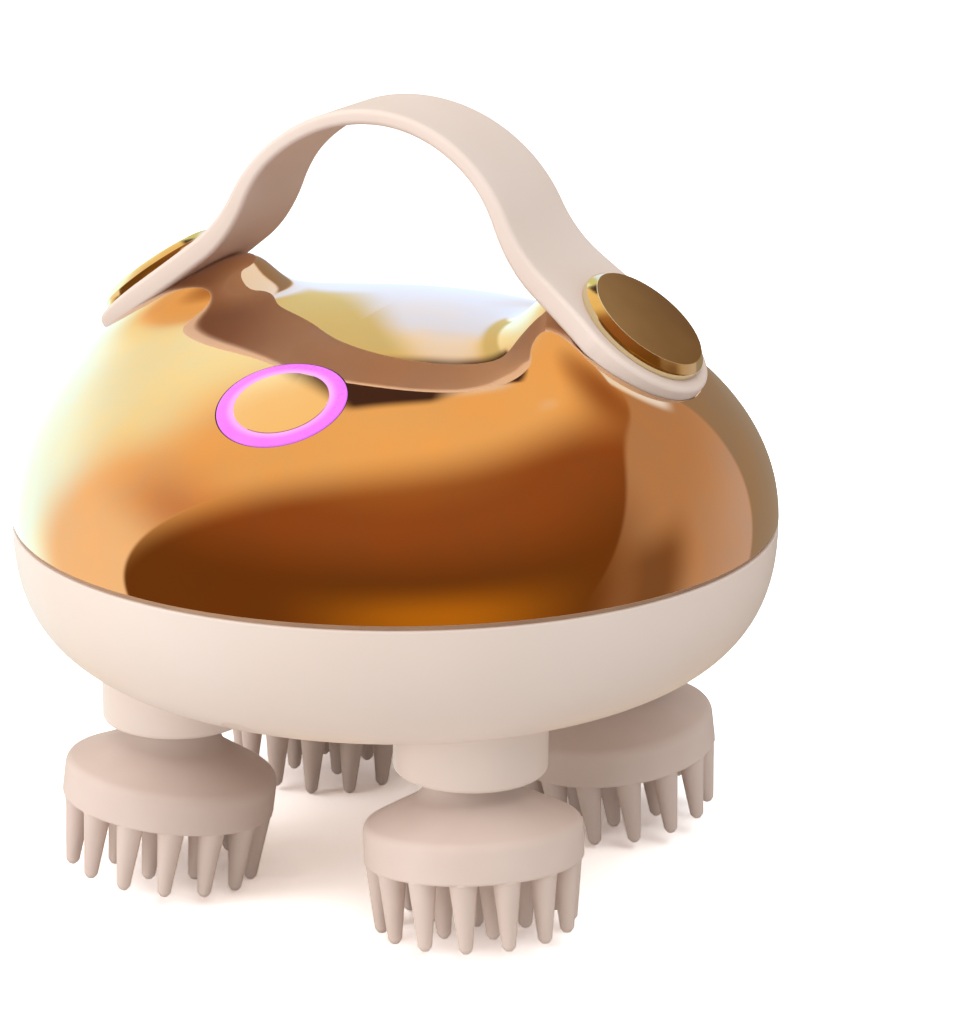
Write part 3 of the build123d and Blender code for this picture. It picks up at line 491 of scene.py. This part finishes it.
upperShell = meshPiece("upperShell", [domeGrid()])
drop, reach, top = dome["seatDrop"], dome["cutReach"], dome["cutTop"]
carve(upperShell, [placed(solidDisc(dome["seatRadius"], -reach, -drop), *onSeat(s)) for s in (1, -1)], "UNION")
half, depth = dome["portWidth"] / 2, dome["portDepth"]
portHole = slotShape(dome["portLength"], dome["portWidth"],
                     [(half, -depth), (0, -depth), (0, top), (half, top)])
cuts = [placed(strapPad(-drop - dome["overlap"], reach) * [s, 1, 1], *onSeat(s)) for s in (1, -1)]
cuts.append(placed(solidDisc(dome["buttonHole"], -reach, reach, 128), *onDome(dome["buttonY"])))
cuts.append(placed(portHole, *onDome(dome["portY"])))
carve(upperShell, cuts)
hollow = np.linspace(-np.pi / 2, np.pi / 2, 49)[:, None]  # half an ellipse, a wall inside the dome
hollow = np.hstack([(dome["radius"] - dome["wall"]) * np.cos(hollow),
                    (dome["height"] - dome["wall"]) * np.sin(hollow)])
carve(upperShell, [turned(hollow, 128)])
half = dome["socketWidth"] / 2
socketHole = slotShape(dome["socketLength"], dome["socketWidth"],
                       [(half, -reach), (0, -reach), (0, top), (half, top)])
carve(upperShell, [placed(socketHole, *onDome(dome["portY"]))])
smoothOn(upperShell, domeSurface)
finishPiece(upperShell, "upper_shell")
print("upper shell made:", len(upperShell.data.polygons), "faces")

# the lower shell and its four collars
bowl = {"depth": 23.2, "floorRadius": 20.0, "rimPower": 5.0, "floorPower": 2.5, "wall": 2.2, "edge": 0.25,
        "rows": 56, "sectors": 256, "headCircle": 33.0, "collarRadius": 10.7, "collarBottom": -27.9,
        "collarTop": -15.0, "collarEdge": 0.8, "mouthRadius": 8.6, "mouthDepth": 3.0, "sealRadius": 7.0,
        "sealHeight": 2.5, "bushRadius": 6.03, "boreLow": -30.0, "boreTop": -12.0, "boreSectors": 96,
        "wellRadius": 2.7, "wellCircle": 46.0, "wellLow": -26.0, "wellTop": -9.0, "wellSectors": 40}


def bowlLine(radius, depth):
    # z = -depth * (1 - (r^n - f^n) / (radius^n - f^n)) ^ (1/m) outside the flat floor of radius f,
    # taken at radii that crowd towards the rim, where it stands upright.
    n, flat = bowl["rimPower"], bowl["floorRadius"]
    height = np.cos(np.linspace(0, np.pi / 2, bowl["rows"]))
    rest = (1 - height ** bowl["floorPower"]) * (radius ** n - flat ** n) + flat ** n
    return np.stack([rest ** (1 / n), -depth * height], 1)


def bowlSurface(p):
    # g = (r^n - f^n)/(R^n - f^n) + (|z|/depth)^m - 1 is zero on the side wall. The distance and the normal
    # come from its slope, as on the dome.
    x, y, z = p.T
    n, m, flat, radius = bowl["rimPower"], bowl["floorPower"], bowl["floorRadius"], dome["radius"]
    r, down = np.maximum(np.hypot(x, y), 1e-6), np.maximum(-z, 0) / bowl["depth"]
    scale = radius ** n - flat ** n
    across = n * np.maximum(r, flat) ** (n - 1) / scale * (r > flat)
    slope = np.stack([across * x / r, across * y / r, -m * down ** (m - 1) / bowl["depth"] - 1e-9], 1)
    size = np.linalg.norm(slope, axis=1)
    g = (np.maximum(r, flat) ** n - flat ** n) / scale + down ** m - 1
    return np.where(z < 0, g / size, 99), slope / size[:, None]


outer = bowlLine(dome["radius"], bowl["depth"])
inner = bowlLine(dome["radius"] - bowl["wall"], bowl["depth"] - bowl["wall"])
outer, inner = outer[outer[:, 1] < -dome["seamHalf"] - bowl["edge"]], inner[inner[:, 1] < -dome["seamHalf"]]
bend = np.radians([0, 30, 60, 90])
rimEdge = np.stack([outer[-1, 0] - bowl["edge"] * (1 - np.cos(bend)),
                    -dome["seamHalf"] - bowl["edge"] * (1 - np.sin(bend))], 1)
inside = np.array([[inner[-1, 0], -dome["seamHalf"]]])
shellLine = np.concatenate([[[0, -bowl["depth"]]], outer, rimEdge, inside, inner[::-1],
                            [[0, bowl["wall"] - bowl["depth"]]]])
lowerShell = meshPiece("lowerShell", [turned(shellLine, bowl["sectors"])])
collar = roundedOutline([
    (0, bowl["collarTop"], 0), (bowl["collarRadius"], bowl["collarTop"], 0),
    (bowl["collarRadius"], bowl["collarBottom"], bowl["collarEdge"]), (0, bowl["collarBottom"], 0)])
mouthTop = bowl["collarBottom"] + bowl["mouthDepth"]
sealTop = mouthTop + bowl["sealHeight"]
bore = [(0, bowl["boreLow"]), (bowl["mouthRadius"], bowl["boreLow"]), (bowl["mouthRadius"], mouthTop),
        (bowl["sealRadius"], mouthTop), (bowl["sealRadius"], sealTop), (bowl["bushRadius"], sealTop),
        (bowl["bushRadius"], bowl["boreTop"]), (0, bowl["boreTop"])]


def headSpot(angle):
    # (cos angle, sin angle) times headCircle.
    radians = math.radians(angle)
    return bowl["headCircle"] * math.cos(radians), bowl["headCircle"] * math.sin(radians)


sectors = bowl["boreSectors"]
collars = [turned(collar, sectors) + [*headSpot(a), 0] for a in places.values()]
carve(lowerShell, collars, "UNION")
cuts = [turned(np.array(bore, float), sectors) + [*headSpot(a), 0] for a in places.values()]
for angle in (0, 90, 180, 270):  # the screw wells
    spot = np.array([math.cos(math.radians(angle)), math.sin(math.radians(angle)), 0]) * bowl["wellCircle"]
    cuts.append(solidDisc(bowl["wellRadius"], bowl["wellLow"], bowl["wellTop"], bowl["wellSectors"]) + spot)
carve(lowerShell, cuts)
smoothOn(lowerShell, bowlSurface)
finishPiece(lowerShell, "lower_shell")
print("lower shell made:", len(lowerShell.data.polygons), "faces")

# the finger strap
def strapGrid():
    # Side view of the outer face: an arch, a foot that bends back upwards, and a straight seat. Each row is a
    # loop over the top and back under it, offset along the normal by the thickness, which grows towards the
    # seat by t^2 (3 - 2t), with the edge rounded by drop = e - sqrt(e^2 - (e - d)^2) at a distance d < e
    # from the outline.
    origin = onSeat(1)[0]
    tilt, foot = math.radians(dome["seatTilt"]), math.radians(strap["footAngle"])
    thin, archRadius = strap["thickness"], strap["archRadius"]
    bend, end = strap["blendRadius"], strap["endRadius"]
    level = origin[0] * math.sin(tilt) + origin[2] * math.cos(tilt) + thin
    both = archRadius + bend
    archZ = (level + bend - both * math.cos(foot - tilt)) / math.cos(tilt)
    arch = np.linspace(0, foot, strap["archRows"])[:-1]
    blend = np.linspace(foot, tilt, strap["blendRows"])
    blendX, blendZ = both * math.sin(foot), archZ + both * math.cos(foot)
    seat = np.array([origin[0] + thin * math.sin(tilt), origin[2] + thin * math.cos(tilt)])
    along = np.array([math.cos(tilt), -math.sin(tilt)])
    start = np.array([blendX - bend * math.sin(tilt), blendZ - bend * math.cos(tilt)])
    reach = np.linalg.norm(seat - start)
    past = np.concatenate([np.linspace(-reach, 0, strap["seatRows"])[1:],
                           end * np.sin(np.linspace(0, np.pi / 2, strap["endRows"])[1:])])
    line = np.concatenate([
        np.stack([archRadius * np.sin(arch), archZ + archRadius * np.cos(arch)], 1),
        np.stack([blendX - bend * np.sin(blend), blendZ - bend * np.cos(blend)], 1),
        seat + past[:, None] * along])
    lean = np.concatenate([arch, blend, np.full(len(past), tilt)])
    beyond = np.concatenate([np.full(len(arch) + len(blend), -99.0), past])  # how far past the cap's middle
    circle = np.sqrt(np.clip(end ** 2 - beyond ** 2, 0, None))
    half = np.where(beyond > 0, circle, np.maximum(strapWidth(line[:, 0]), circle))[:, None]
    v = np.sin(np.linspace(-np.pi / 2, np.pi / 2, strap["across"]))
    y = half * v
    gap = np.where(beyond[:, None] > 0, end - np.hypot(beyond[:, None], y), half - np.abs(y))
    e = strap["edge"]
    drop = e - np.sqrt(np.clip(e * e - np.clip(e - gap, 0, e) ** 2, 0, None))
    normal = np.stack([np.sin(lean), 0 * lean, np.cos(lean)], 1)[:, None]
    middle = np.stack([line[:, 0], 0 * lean, line[:, 1]], 1)[:, None]
    sideways = np.array([0, 1, 0]) * y[..., None]
    t = np.clip((line[:, 0] - strap["thickenFrom"]) / (strap["thickenTo"] - strap["thickenFrom"]), 0, 1)
    thick = (thin + dome["seatDrop"] * t * t * (3 - 2 * t))[:, None, None]
    top = middle + sideways - normal * drop[..., None]
    under = middle + sideways - normal * (thick - drop[..., None])
    right = np.concatenate([top, under[:, ::-1]], 1)
    return np.concatenate([right[:0:-1] * [-1, 1, 1], right])


strapBand = meshPiece("strapBand", [strapGrid()], sharp=40)
finishPiece(strapBand, "strap")
print("strap made:", len(strapBand.data.polygons), "faces")

# the two caps that hold its ends
cap = {"radius": 9.8, "thickness": 2.1, "chamfer": 1.0, "postRadius": 2.5, "postEnd": -3.5, "softness": 0.12,
       "sectors": 128}
low = strap["thickness"]
high = low + cap["thickness"]
capLine = roundedOutline([
    (0, cap["postEnd"], 0), (cap["postRadius"], cap["postEnd"], 0), (cap["postRadius"], low, 0),
    (cap["radius"], low, cap["softness"]), (cap["radius"], high - cap["chamfer"], cap["softness"]),
    (cap["radius"] - cap["chamfer"], high, cap["softness"]), (0, high, 0)], steps=3)
for name, side, node in (("capRight", 1, "cap_right"), ("capLeft", -1, "cap_left")):
    origin, rotation = onSeat(side)
    piece = meshPiece(name, [placed(turned(capLine, cap["sectors"]), origin, rotation)], sharp=25)
    centre = (origin[0] / 1000, 0, origin[2] / 1000 + seamHeight)
    face = makeFinish(looks["gold_cap"], centre, (0, math.radians(side * dome["seatTilt"]), 0))
    finishPiece(piece, node, [makeFinish(looks["capEdge"]), face])
    facing = np.empty(len(piece.data.polygons) * 3)
    piece.data.polygons.foreach_get("normal", facing)
    flat = (facing.reshape(-1, 3) @ rotation[:, 2] > 0.999).astype(np.int32)  # the turned face
    piece.data.polygons.foreach_set("material_index", flat)
print("caps made")

# the button, its lit ring and the thin seal round it
button = {"radius": 6.6, "proud": 0.12, "height": 3.4, "flangeRadius": 7.6, "flangeHeight": 0.7,
          "stemRadius": 1.5, "stemEnd": -6.0, "edge": 0.12, "topRows": 14, "sectors": 128, "ringInner": 6.68,
          "ringOuter": 8.98, "ringDepth": -3.0, "ringEdge": 0.16, "ringSectors": 160, "sealDepth": -3.6,
          "sealTop": -0.12}


def followDome(points, y):
    # Bends local points with the dome: z + t, where t is the dome's height over its tangent plane at that
    # place, found by Newton steps t - distance / (normal . axis).
    origin, rotation = onDome(y)
    flat = points.reshape(-1, 3) * [1, 1, 0]
    rise = np.zeros(len(flat))
    for _ in range(5):
        spot = placed(flat + rise[:, None] * [0, 0, 1], origin, rotation)
        distance, normal = domeSurface(spot)
        rise = rise - distance / (normal @ rotation[:, 2])
    return placed(points.reshape(-1, 3) + rise[:, None] * [0, 0, 1], origin, rotation).reshape(points.shape)


high, low = button["proud"], button["proud"] - button["height"]
under = low - button["flangeHeight"]
side = roundedOutline([
    (0, button["stemEnd"], 0), (button["stemRadius"], button["stemEnd"], 0), (button["stemRadius"], under, 0),
    (button["flangeRadius"], under, 0), (button["flangeRadius"], low, 0), (button["radius"], low, 0),
    (button["radius"], high, button["edge"]), (0, high, 0)])[:-1]
r = np.linspace(side[-1, 0], 0, button["topRows"])[1:]
side = np.concatenate([side, np.stack([r, 0 * r + high], 1)])
buttonTop = meshPiece("buttonTop", [followDome(turned(side, button["sectors"]), dome["buttonY"])])
smoothOn(buttonTop, lambda p: raised(p, button["proud"]))
# its plating is drawn paler than the shell's, as a painted brighter reflection
finishPiece(buttonTop, "button_cap")
ringLine = roundedOutline([
    (button["ringInner"], button["ringDepth"], 0), (button["ringInner"], button["proud"], button["ringEdge"]),
    (button["ringOuter"], button["proud"], button["ringEdge"]), (button["ringOuter"], button["ringDepth"], 0),
    (button["ringInner"], button["ringDepth"], 0)])
origin, rotation = onDome(dome["buttonY"])
litRing = meshPiece("litRing", [followDome(turned(ringLine, button["ringSectors"]), dome["buttonY"])])
glow = makeFinish(looks["light_ring"], (0, origin[1] / 1000, origin[2] / 1000 + seamHeight),
                  Matrix(rotation.tolist()).to_euler())
finishPiece(litRing, "light_ring", [glow])
sealLine = np.array([
    (button["ringOuter"], button["sealDepth"]), (button["ringOuter"], button["sealTop"]),
    (dome["buttonHole"], button["sealTop"]), (dome["buttonHole"], button["sealDepth"]),
    (button["ringOuter"], button["sealDepth"])])
ringSeal = meshPiece("ringSeal", [followDome(turned(sealLine, button["ringSectors"]), dome["buttonY"])])
finishPiece(ringSeal, "button_seal")
print("button, ring and seal made")

# the four massage heads
head = {"tilt": 7.6, "pivot": -28.4, "neckTop": 1.5, "neckRadius": 6.3, "neckEdge": 0.3, "neckEnd": -2.5,
        "neckBlend": 3.4, "radius": 15.3, "shoulder": -7.0, "shoulderRound": 1.7, "bottom": -12.4,
        "bottomRound": 0.45, "coreRadius": 4.6, "coreWide": 10.5, "coreTop": -8.6, "coreLow": -10.2,
        "sectors": 112}
tooth = {"length": 9.8, "base": 1.95, "tip": 0.98, "tipLength": 0.6, "tipRound": 0.4, "endRound": 0.2,
         "root": 0.15, "sunk": 0.4, "sectors": 20, "outerCount": 14, "outerCircle": 13.2, "innerCount": 6,
         "innerCircle": 6.9}
bottom = head["bottom"]
headLine = roundedOutline([
    (0, head["coreLow"], 0), (head["coreWide"], head["coreLow"], 0), (head["coreWide"], head["coreTop"], 0),
    (head["coreRadius"], head["coreTop"], 0), (head["coreRadius"], head["neckTop"], 0),
    (head["neckRadius"], head["neckTop"], head["neckEdge"]),
    (head["neckRadius"], head["neckEnd"], head["neckBlend"]),
    (head["radius"], head["shoulder"], head["shoulderRound"]),
    (head["radius"], bottom, head["bottomRound"]), (0, bottom, 0)], steps=9)
tipEnd, foot = bottom - tooth["length"], tooth["base"] + tooth["root"]
toothLine = roundedOutline([
    (0, bottom + tooth["sunk"], 0), (foot, bottom + tooth["sunk"], 0), (foot, bottom, 0),
    (tooth["base"], bottom, tooth["root"]), (tooth["tip"], tipEnd + tooth["tipLength"], tooth["tipRound"]),
    (tooth["tip"] / 2, tipEnd, tooth["endRound"]), (0, tipEnd, 0)], steps=4)
outer = np.arange(tooth["outerCount"]) * 2 * np.pi / tooth["outerCount"]
inner = np.arange(tooth["innerCount"]) * 2 * np.pi / tooth["innerCount"]
spots = np.concatenate([
    tooth["outerCircle"] * np.stack([np.cos(outer), np.sin(outer), 0 * outer], 1),
    tooth["innerCircle"] * np.stack([np.cos(inner), np.sin(inner), 0 * inner], 1), [[0, 0, 0]]])
oneTooth = turned(toothLine, tooth["sectors"])
for place, angle in places.items():
    spot, rotation = (*headSpot(angle), head["pivot"]), turn("Z", angle) @ turn("Y", -head["tilt"])
    grids = [turned(headLine, head["sectors"])] + [oneTooth + s for s in spots]
    piece = meshPiece("kneadingHead." + place, [placed(g, spot, rotation) for g in grids], sharp=45)
    finishPiece(piece, "massage_head_" + place)
print("heads made")

# the set: floor, background, lamps and the cards that polished surfaces mirror
studio = {"ambient": 0.44, "floorSize": 5.0, "floorShade": "#F4F3F1", "floorTone": "#F2F1EF",
          "floorDrift": 6.0, "floorSeen": 2.4, "aim": (0, 0, 0.05), "keyPower": 3.4, "keySize": 0.7,
          "keyFrom": (-0.62, -0.45, 0.8), "lowPower": 3.5, "lowSize": 0.6, "lowFrom": (-0.5, -0.75, 0.15),
          "topPower": 4.0, "topSize": 0.7, "topFrom": (0.4, -0.28, 0.9), "cardRadius": 3.0,
          "coatShare": 0.14, "dark": "#6E370E", "middle": "#92481A", "middleRise": (15, 60),
          "above": "#A45A24", "aboveRise": (60, 86), "leanFrom": 13}
# Shades are as they look in the amber plating. Each card: middle azimuth (0 = -Y, 90 = +X), half width,
# softness left and right, lowest and highest elevation, their softness (3 unless given), how the top edge
# drops to the sides (bend, degrees per square degree) and how the left edge leans (lean, degrees per
# degree). All angles are in degrees.
cards = [
    dict(azimuth=38, half=26, left=24, right=24, low=-30, high=8, highSoft=16, shade="#B5640F"),
    dict(azimuth=-96, half=39, left=14, right=1.0, low=-30, high=38, highSoft=30, shade="#FFBE7C"),
    dict(azimuth=-128, half=26, left=10, right=12, low=-30, high=45, highSoft=9, shade="#FFDC94"),
    dict(azimuth=-124, half=26, left=9, right=12, low=-30, high=26, highSoft=12, shade="#FFF6C6"),
    dict(azimuth=-70, half=13, left=20, right=1.0, low=34, lowSoft=14, high=50, highSoft=14, shade="#CE7A40"),
    dict(azimuth=178, half=24, left=1.2, right=3, low=-30, high=31, highSoft=2, shade="#97704A"),
    dict(azimuth=126, half=29, left=17, right=1.2, low=-30, high=51, highSoft=2, bend=0.03, shade="#B87A48"),
    dict(azimuth=106, half=11, left=8, right=8, low=-30, high=12, highSoft=10, shade="#7D4923"),
    dict(azimuth=143, half=12, left=20, right=1.2, low=-30, high=12, highSoft=16, shade="#C2906A"),
    dict(azimuth=164, half=43, left=2.5, right=2.5, low=31, high=73, highSoft=2.5, bend=0.0074, lean=0.88,
         shade="#F3D6B4"),
    dict(azimuth=-154, half=4, left=1.5, right=1.5, low=-30, high=32, highSoft=4, shade="#EAD6C2"),
    dict(azimuth=-148, half=4, left=1.5, right=2, low=8, high=52, highSoft=2, shade="#D9B268"),
    dict(azimuth=-146, half=8, left=1, right=3, low=44, high=63, highSoft=2, shade="#47291A"),
]
bounce = dict(azimuth=-142, elevation=16, full=66, none=88, shade="#F3A858")  # the big soft source behind


def shown(hexColour):
    # The light that looks like this shade in the plating, whose clear coat reflects a share k untinted:
    # shade / (tint (1 - k) + k).
    k, tint = studio["coatShare"], linear(looks["plated_shell"]["colour"])
    return tuple(c / (t * (1 - k) + k) for c, t in zip(linear(hexColour)[:3], tint)) + (1.0,)


def makeCards():
    # A sphere of mirrored surroundings: shade by elevation, a round soft box by its angle from the middle,
    # then each card laid over it where the product of its four smooth edges, t^2 (3 - 2t), says so.
    # Directions are Object coordinates, as angles in degrees.
    material = bpy.data.materials.new("studioCards")
    material.use_nodes = True
    tree = material.node_tree
    tree.nodes.clear()
    times, degrees = {"operation": "MULTIPLY"}, 180 / math.pi
    place = addNode(tree, "ShaderNodeTexCoord")
    way = addNode(tree, "ShaderNodeVectorMath", {"operation": "NORMALIZE"}, {0: place.outputs["Object"]})
    parts = addNode(tree, "ShaderNodeSeparateXYZ", {}, {0: way.outputs[0]})
    rise = addNode(tree, "ShaderNodeMath", {"operation": "ARCSINE"}, {0: parts.outputs[2]})
    rise = addNode(tree, "ShaderNodeMath", times, {0: rise.outputs[0], 1: degrees}).outputs[0]
    around, above = math.radians(bounce["azimuth"]), math.radians(bounce["elevation"])
    centre = (math.sin(around) * math.cos(above), -math.cos(around) * math.cos(above), math.sin(above))
    along = addNode(tree, "ShaderNodeVectorMath", {"operation": "DOT_PRODUCT"}, {0: way.outputs[0], 1: centre})
    away = addNode(tree, "ShaderNodeMath", {"operation": "ARCCOSINE"}, {0: along.outputs["Value"]})
    away = addNode(tree, "ShaderNodeMath", times, {0: away.outputs[0], 1: degrees}).outputs[0]
    shade = shown(studio["dark"])
    for value, none, full, layer in ((rise, *studio["middleRise"], studio["middle"]),
                                     (rise, *studio["aboveRise"], studio["above"]),
                                     (away, bounce["none"], bounce["full"], bounce["shade"])):
        share = addNode(tree, "ShaderNodeMapRange", {"interpolation_type": "SMOOTHSTEP"}, {
            "Value": value, "From Min": none, "From Max": full})
        shade = addNode(tree, "ShaderNodeMix", {"data_type": "RGBA"}, {
            0: share.outputs[0], 6: shade, 7: shown(layer)}).outputs[2]
    for card in cards:
        swung = addNode(tree, "ShaderNodeVectorRotate", {"rotation_type": "Z_AXIS"}, {
            "Vector": way.outputs[0], "Angle": math.radians(-card["azimuth"])})
        axes = addNode(tree, "ShaderNodeSeparateXYZ", {}, {0: swung.outputs[0]})
        front = addNode(tree, "ShaderNodeMath", times, {0: axes.outputs[1], 1: -1.0})
        aside = addNode(tree, "ShaderNodeMath", {"operation": "ARCTAN2"}, {
            0: axes.outputs[0], 1: front.outputs[0]})
        aside = addNode(tree, "ShaderNodeMath", times, {0: aside.outputs[0], 1: degrees}).outputs[0]
        square = addNode(tree, "ShaderNodeMath", {"operation": "POWER"}, {0: aside, 1: 2.0})
        arched = addNode(tree, "ShaderNodeMath", {"operation": "MULTIPLY_ADD"}, {
            0: square.outputs[0], 1: card.get("bend", 0.0), 2: rise}).outputs[0]
        lean = card.get("lean", 0.0)
        leaned = addNode(tree, "ShaderNodeMath", {"operation": "MULTIPLY_ADD"}, {
            0: rise, 1: lean, 2: aside}).outputs[0]
        half, left, right, low, high = (card[key] for key in ("half", "left", "right", "low", "high"))
        lowSoft, highSoft = card.get("lowSoft", 3), card["highSoft"]
        start = lean * (high - studio["leanFrom"]) - half  # a leaning edge stays put so far under the top
        mask = 1.0
        for value, none, full in ((leaned, start - left, start + left), (aside, half + right, half - right),
                                  (rise, low - lowSoft, low + lowSoft),
                                  (arched, high + highSoft, high - highSoft)):
            edge = addNode(tree, "ShaderNodeMapRange", {"interpolation_type": "SMOOTHSTEP"}, {
                "Value": value, "From Min": none, "From Max": full})
            mask = addNode(tree, "ShaderNodeMath", times, {0: mask, 1: edge.outputs[0]}).outputs[0]
        shade = addNode(tree, "ShaderNodeMix", {"data_type": "RGBA"}, {
            0: mask, 6: shade, 7: shown(card["shade"])}).outputs[2]
    glow = addNode(tree, "ShaderNodeEmission", {}, {"Color": shade})
    addNode(tree, "ShaderNodeOutputMaterial", {}, {"Surface": glow.outputs[0]})
    return material


ball = np.linspace(-np.pi / 2, np.pi / 2, 25)[:, None]
ball = turned(1000 * studio["cardRadius"] * np.hstack([np.cos(ball), np.sin(ball)]), 48)
ball[..., 2] -= seamHeight * 1000  # centred on the origin, so that Object coordinates are directions
cardBall = meshPiece("studioCards", [ball], sharp=180)
cardBall.data.materials.append(makeCards())
for ray in ("camera", "diffuse", "transmission", "volume_scatter", "shadow"):
    setattr(cardBall, "visible_" + ray, False)

floorMaterial = bpy.data.materials.new("paleFloor")
floorMaterial.use_nodes = True
floorTree = floorMaterial.node_tree
floorTree.nodes.clear()
floorPlace = addNode(floorTree, "ShaderNodeTexCoord")
floorDrift = addNode(floorTree, "ShaderNodeTexNoise", {}, {
    "Vector": floorPlace.outputs["Object"], "Scale": studio["floorDrift"]})
seen = addNode(floorTree, "ShaderNodeLightPath")
floorShade = addNode(floorTree, "ShaderNodeMix", {"data_type": "RGBA"}, {
    0: floorDrift.outputs["Fac"], 6: linear(studio["floorShade"]), 7: linear(studio["floorTone"])})
floorSeen = addNode(floorTree, "ShaderNodeMix", {"data_type": "RGBA"}, {
    0: seen.outputs["Is Camera Ray"], 6: floorShade.outputs[2], 7: (studio["floorSeen"],) * 3 + (1.0,)})
floorSkin = addNode(floorTree, "ShaderNodeBsdfDiffuse", {}, {"Color": floorSeen.outputs[2]})
addNode(floorTree, "ShaderNodeOutputMaterial", {}, {"Surface": floorSkin.outputs[0]})
bpy.ops.mesh.primitive_plane_add(size=studio["floorSize"], location=(0, 0, 0))
floor = bpy.context.object
floor.name = "floor"
floor.data.materials.append(floorMaterial)
floor.visible_glossy = False

world = bpy.data.worlds.new("studio")
bpy.context.scene.world = world
world.use_nodes = True
sky = world.node_tree
sky.nodes.clear()
rays = addNode(sky, "ShaderNodeLightPath")
white = rays.outputs["Is Camera Ray"]
for ray in ("Is Glossy Ray", "Is Transmission Ray"):
    white = addNode(sky, "ShaderNodeMath", {"operation": "MAXIMUM"}, {
        0: white, 1: rays.outputs[ray]}).outputs[0]
soft = addNode(sky, "ShaderNodeBackground", {}, {"Color": (1, 1, 1, 1), "Strength": studio["ambient"]})
plain = addNode(sky, "ShaderNodeBackground", {}, {"Color": (1, 1, 1, 1), "Strength": 1.0})
both = addNode(sky, "ShaderNodeMixShader", {}, {0: white, 1: soft.outputs[0], 2: plain.outputs[0]})
addNode(sky, "ShaderNodeOutputWorld", {}, {"Surface": both.outputs[0]})


def addLamp(name, power, size, spot):
    # A square soft lamp that faces the middle of the object.
    lamp = bpy.data.lights.new(name, "AREA")
    lamp.energy, lamp.size = power, size
    holder = bpy.data.objects.new(name, lamp)
    holder.location = spot
    holder.rotation_mode = "QUATERNION"
    holder.rotation_quaternion = (Vector(studio["aim"]) - Vector(spot)).to_track_quat("-Z", "Y")
    holder.visible_glossy = False  # the cards give the highlights
    bpy.context.scene.collection.objects.link(holder)


addLamp("keyLamp", studio["keyPower"], studio["keySize"], studio["keyFrom"])
addLamp("lowLamp", studio["lowPower"], studio["lowSize"], studio["lowFrom"])
addLamp("topLamp", studio["topPower"], studio["topSize"], studio["topFrom"])

# the camera
view = {"azimuth": 26.72, "elevation": 16.5, "distance": 0.495, "aimHeight": 0.0522, "lens": 120.59,
        "shiftX": 81.5 / 1024, "shiftY": -3.5 / 1024}  # pixels over the render's longer side
a, e = math.radians(view["azimuth"]), math.radians(view["elevation"])
back = Vector((math.sin(a) * math.cos(e), -math.cos(a) * math.cos(e), math.sin(e)))
cameraData = bpy.data.cameras.new("camera")
cameraData.lens, cameraData.shift_x, cameraData.shift_y = view["lens"], view["shiftX"], view["shiftY"]
cameraData.clip_start, cameraData.clip_end = 0.01, 50
camera = bpy.data.objects.new("camera", cameraData)
camera.rotation_mode = "QUATERNION"
camera.location = Vector((0, 0, view["aimHeight"])) + back * view["distance"]
camera.rotation_quaternion = (-back).to_track_quat("-Z", "Y")
bpy.context.scene.collection.objects.link(camera)
bpy.context.scene.camera = camera
bpy.context.scene.view_settings.view_transform = "Standard"
print("set and camera ready")
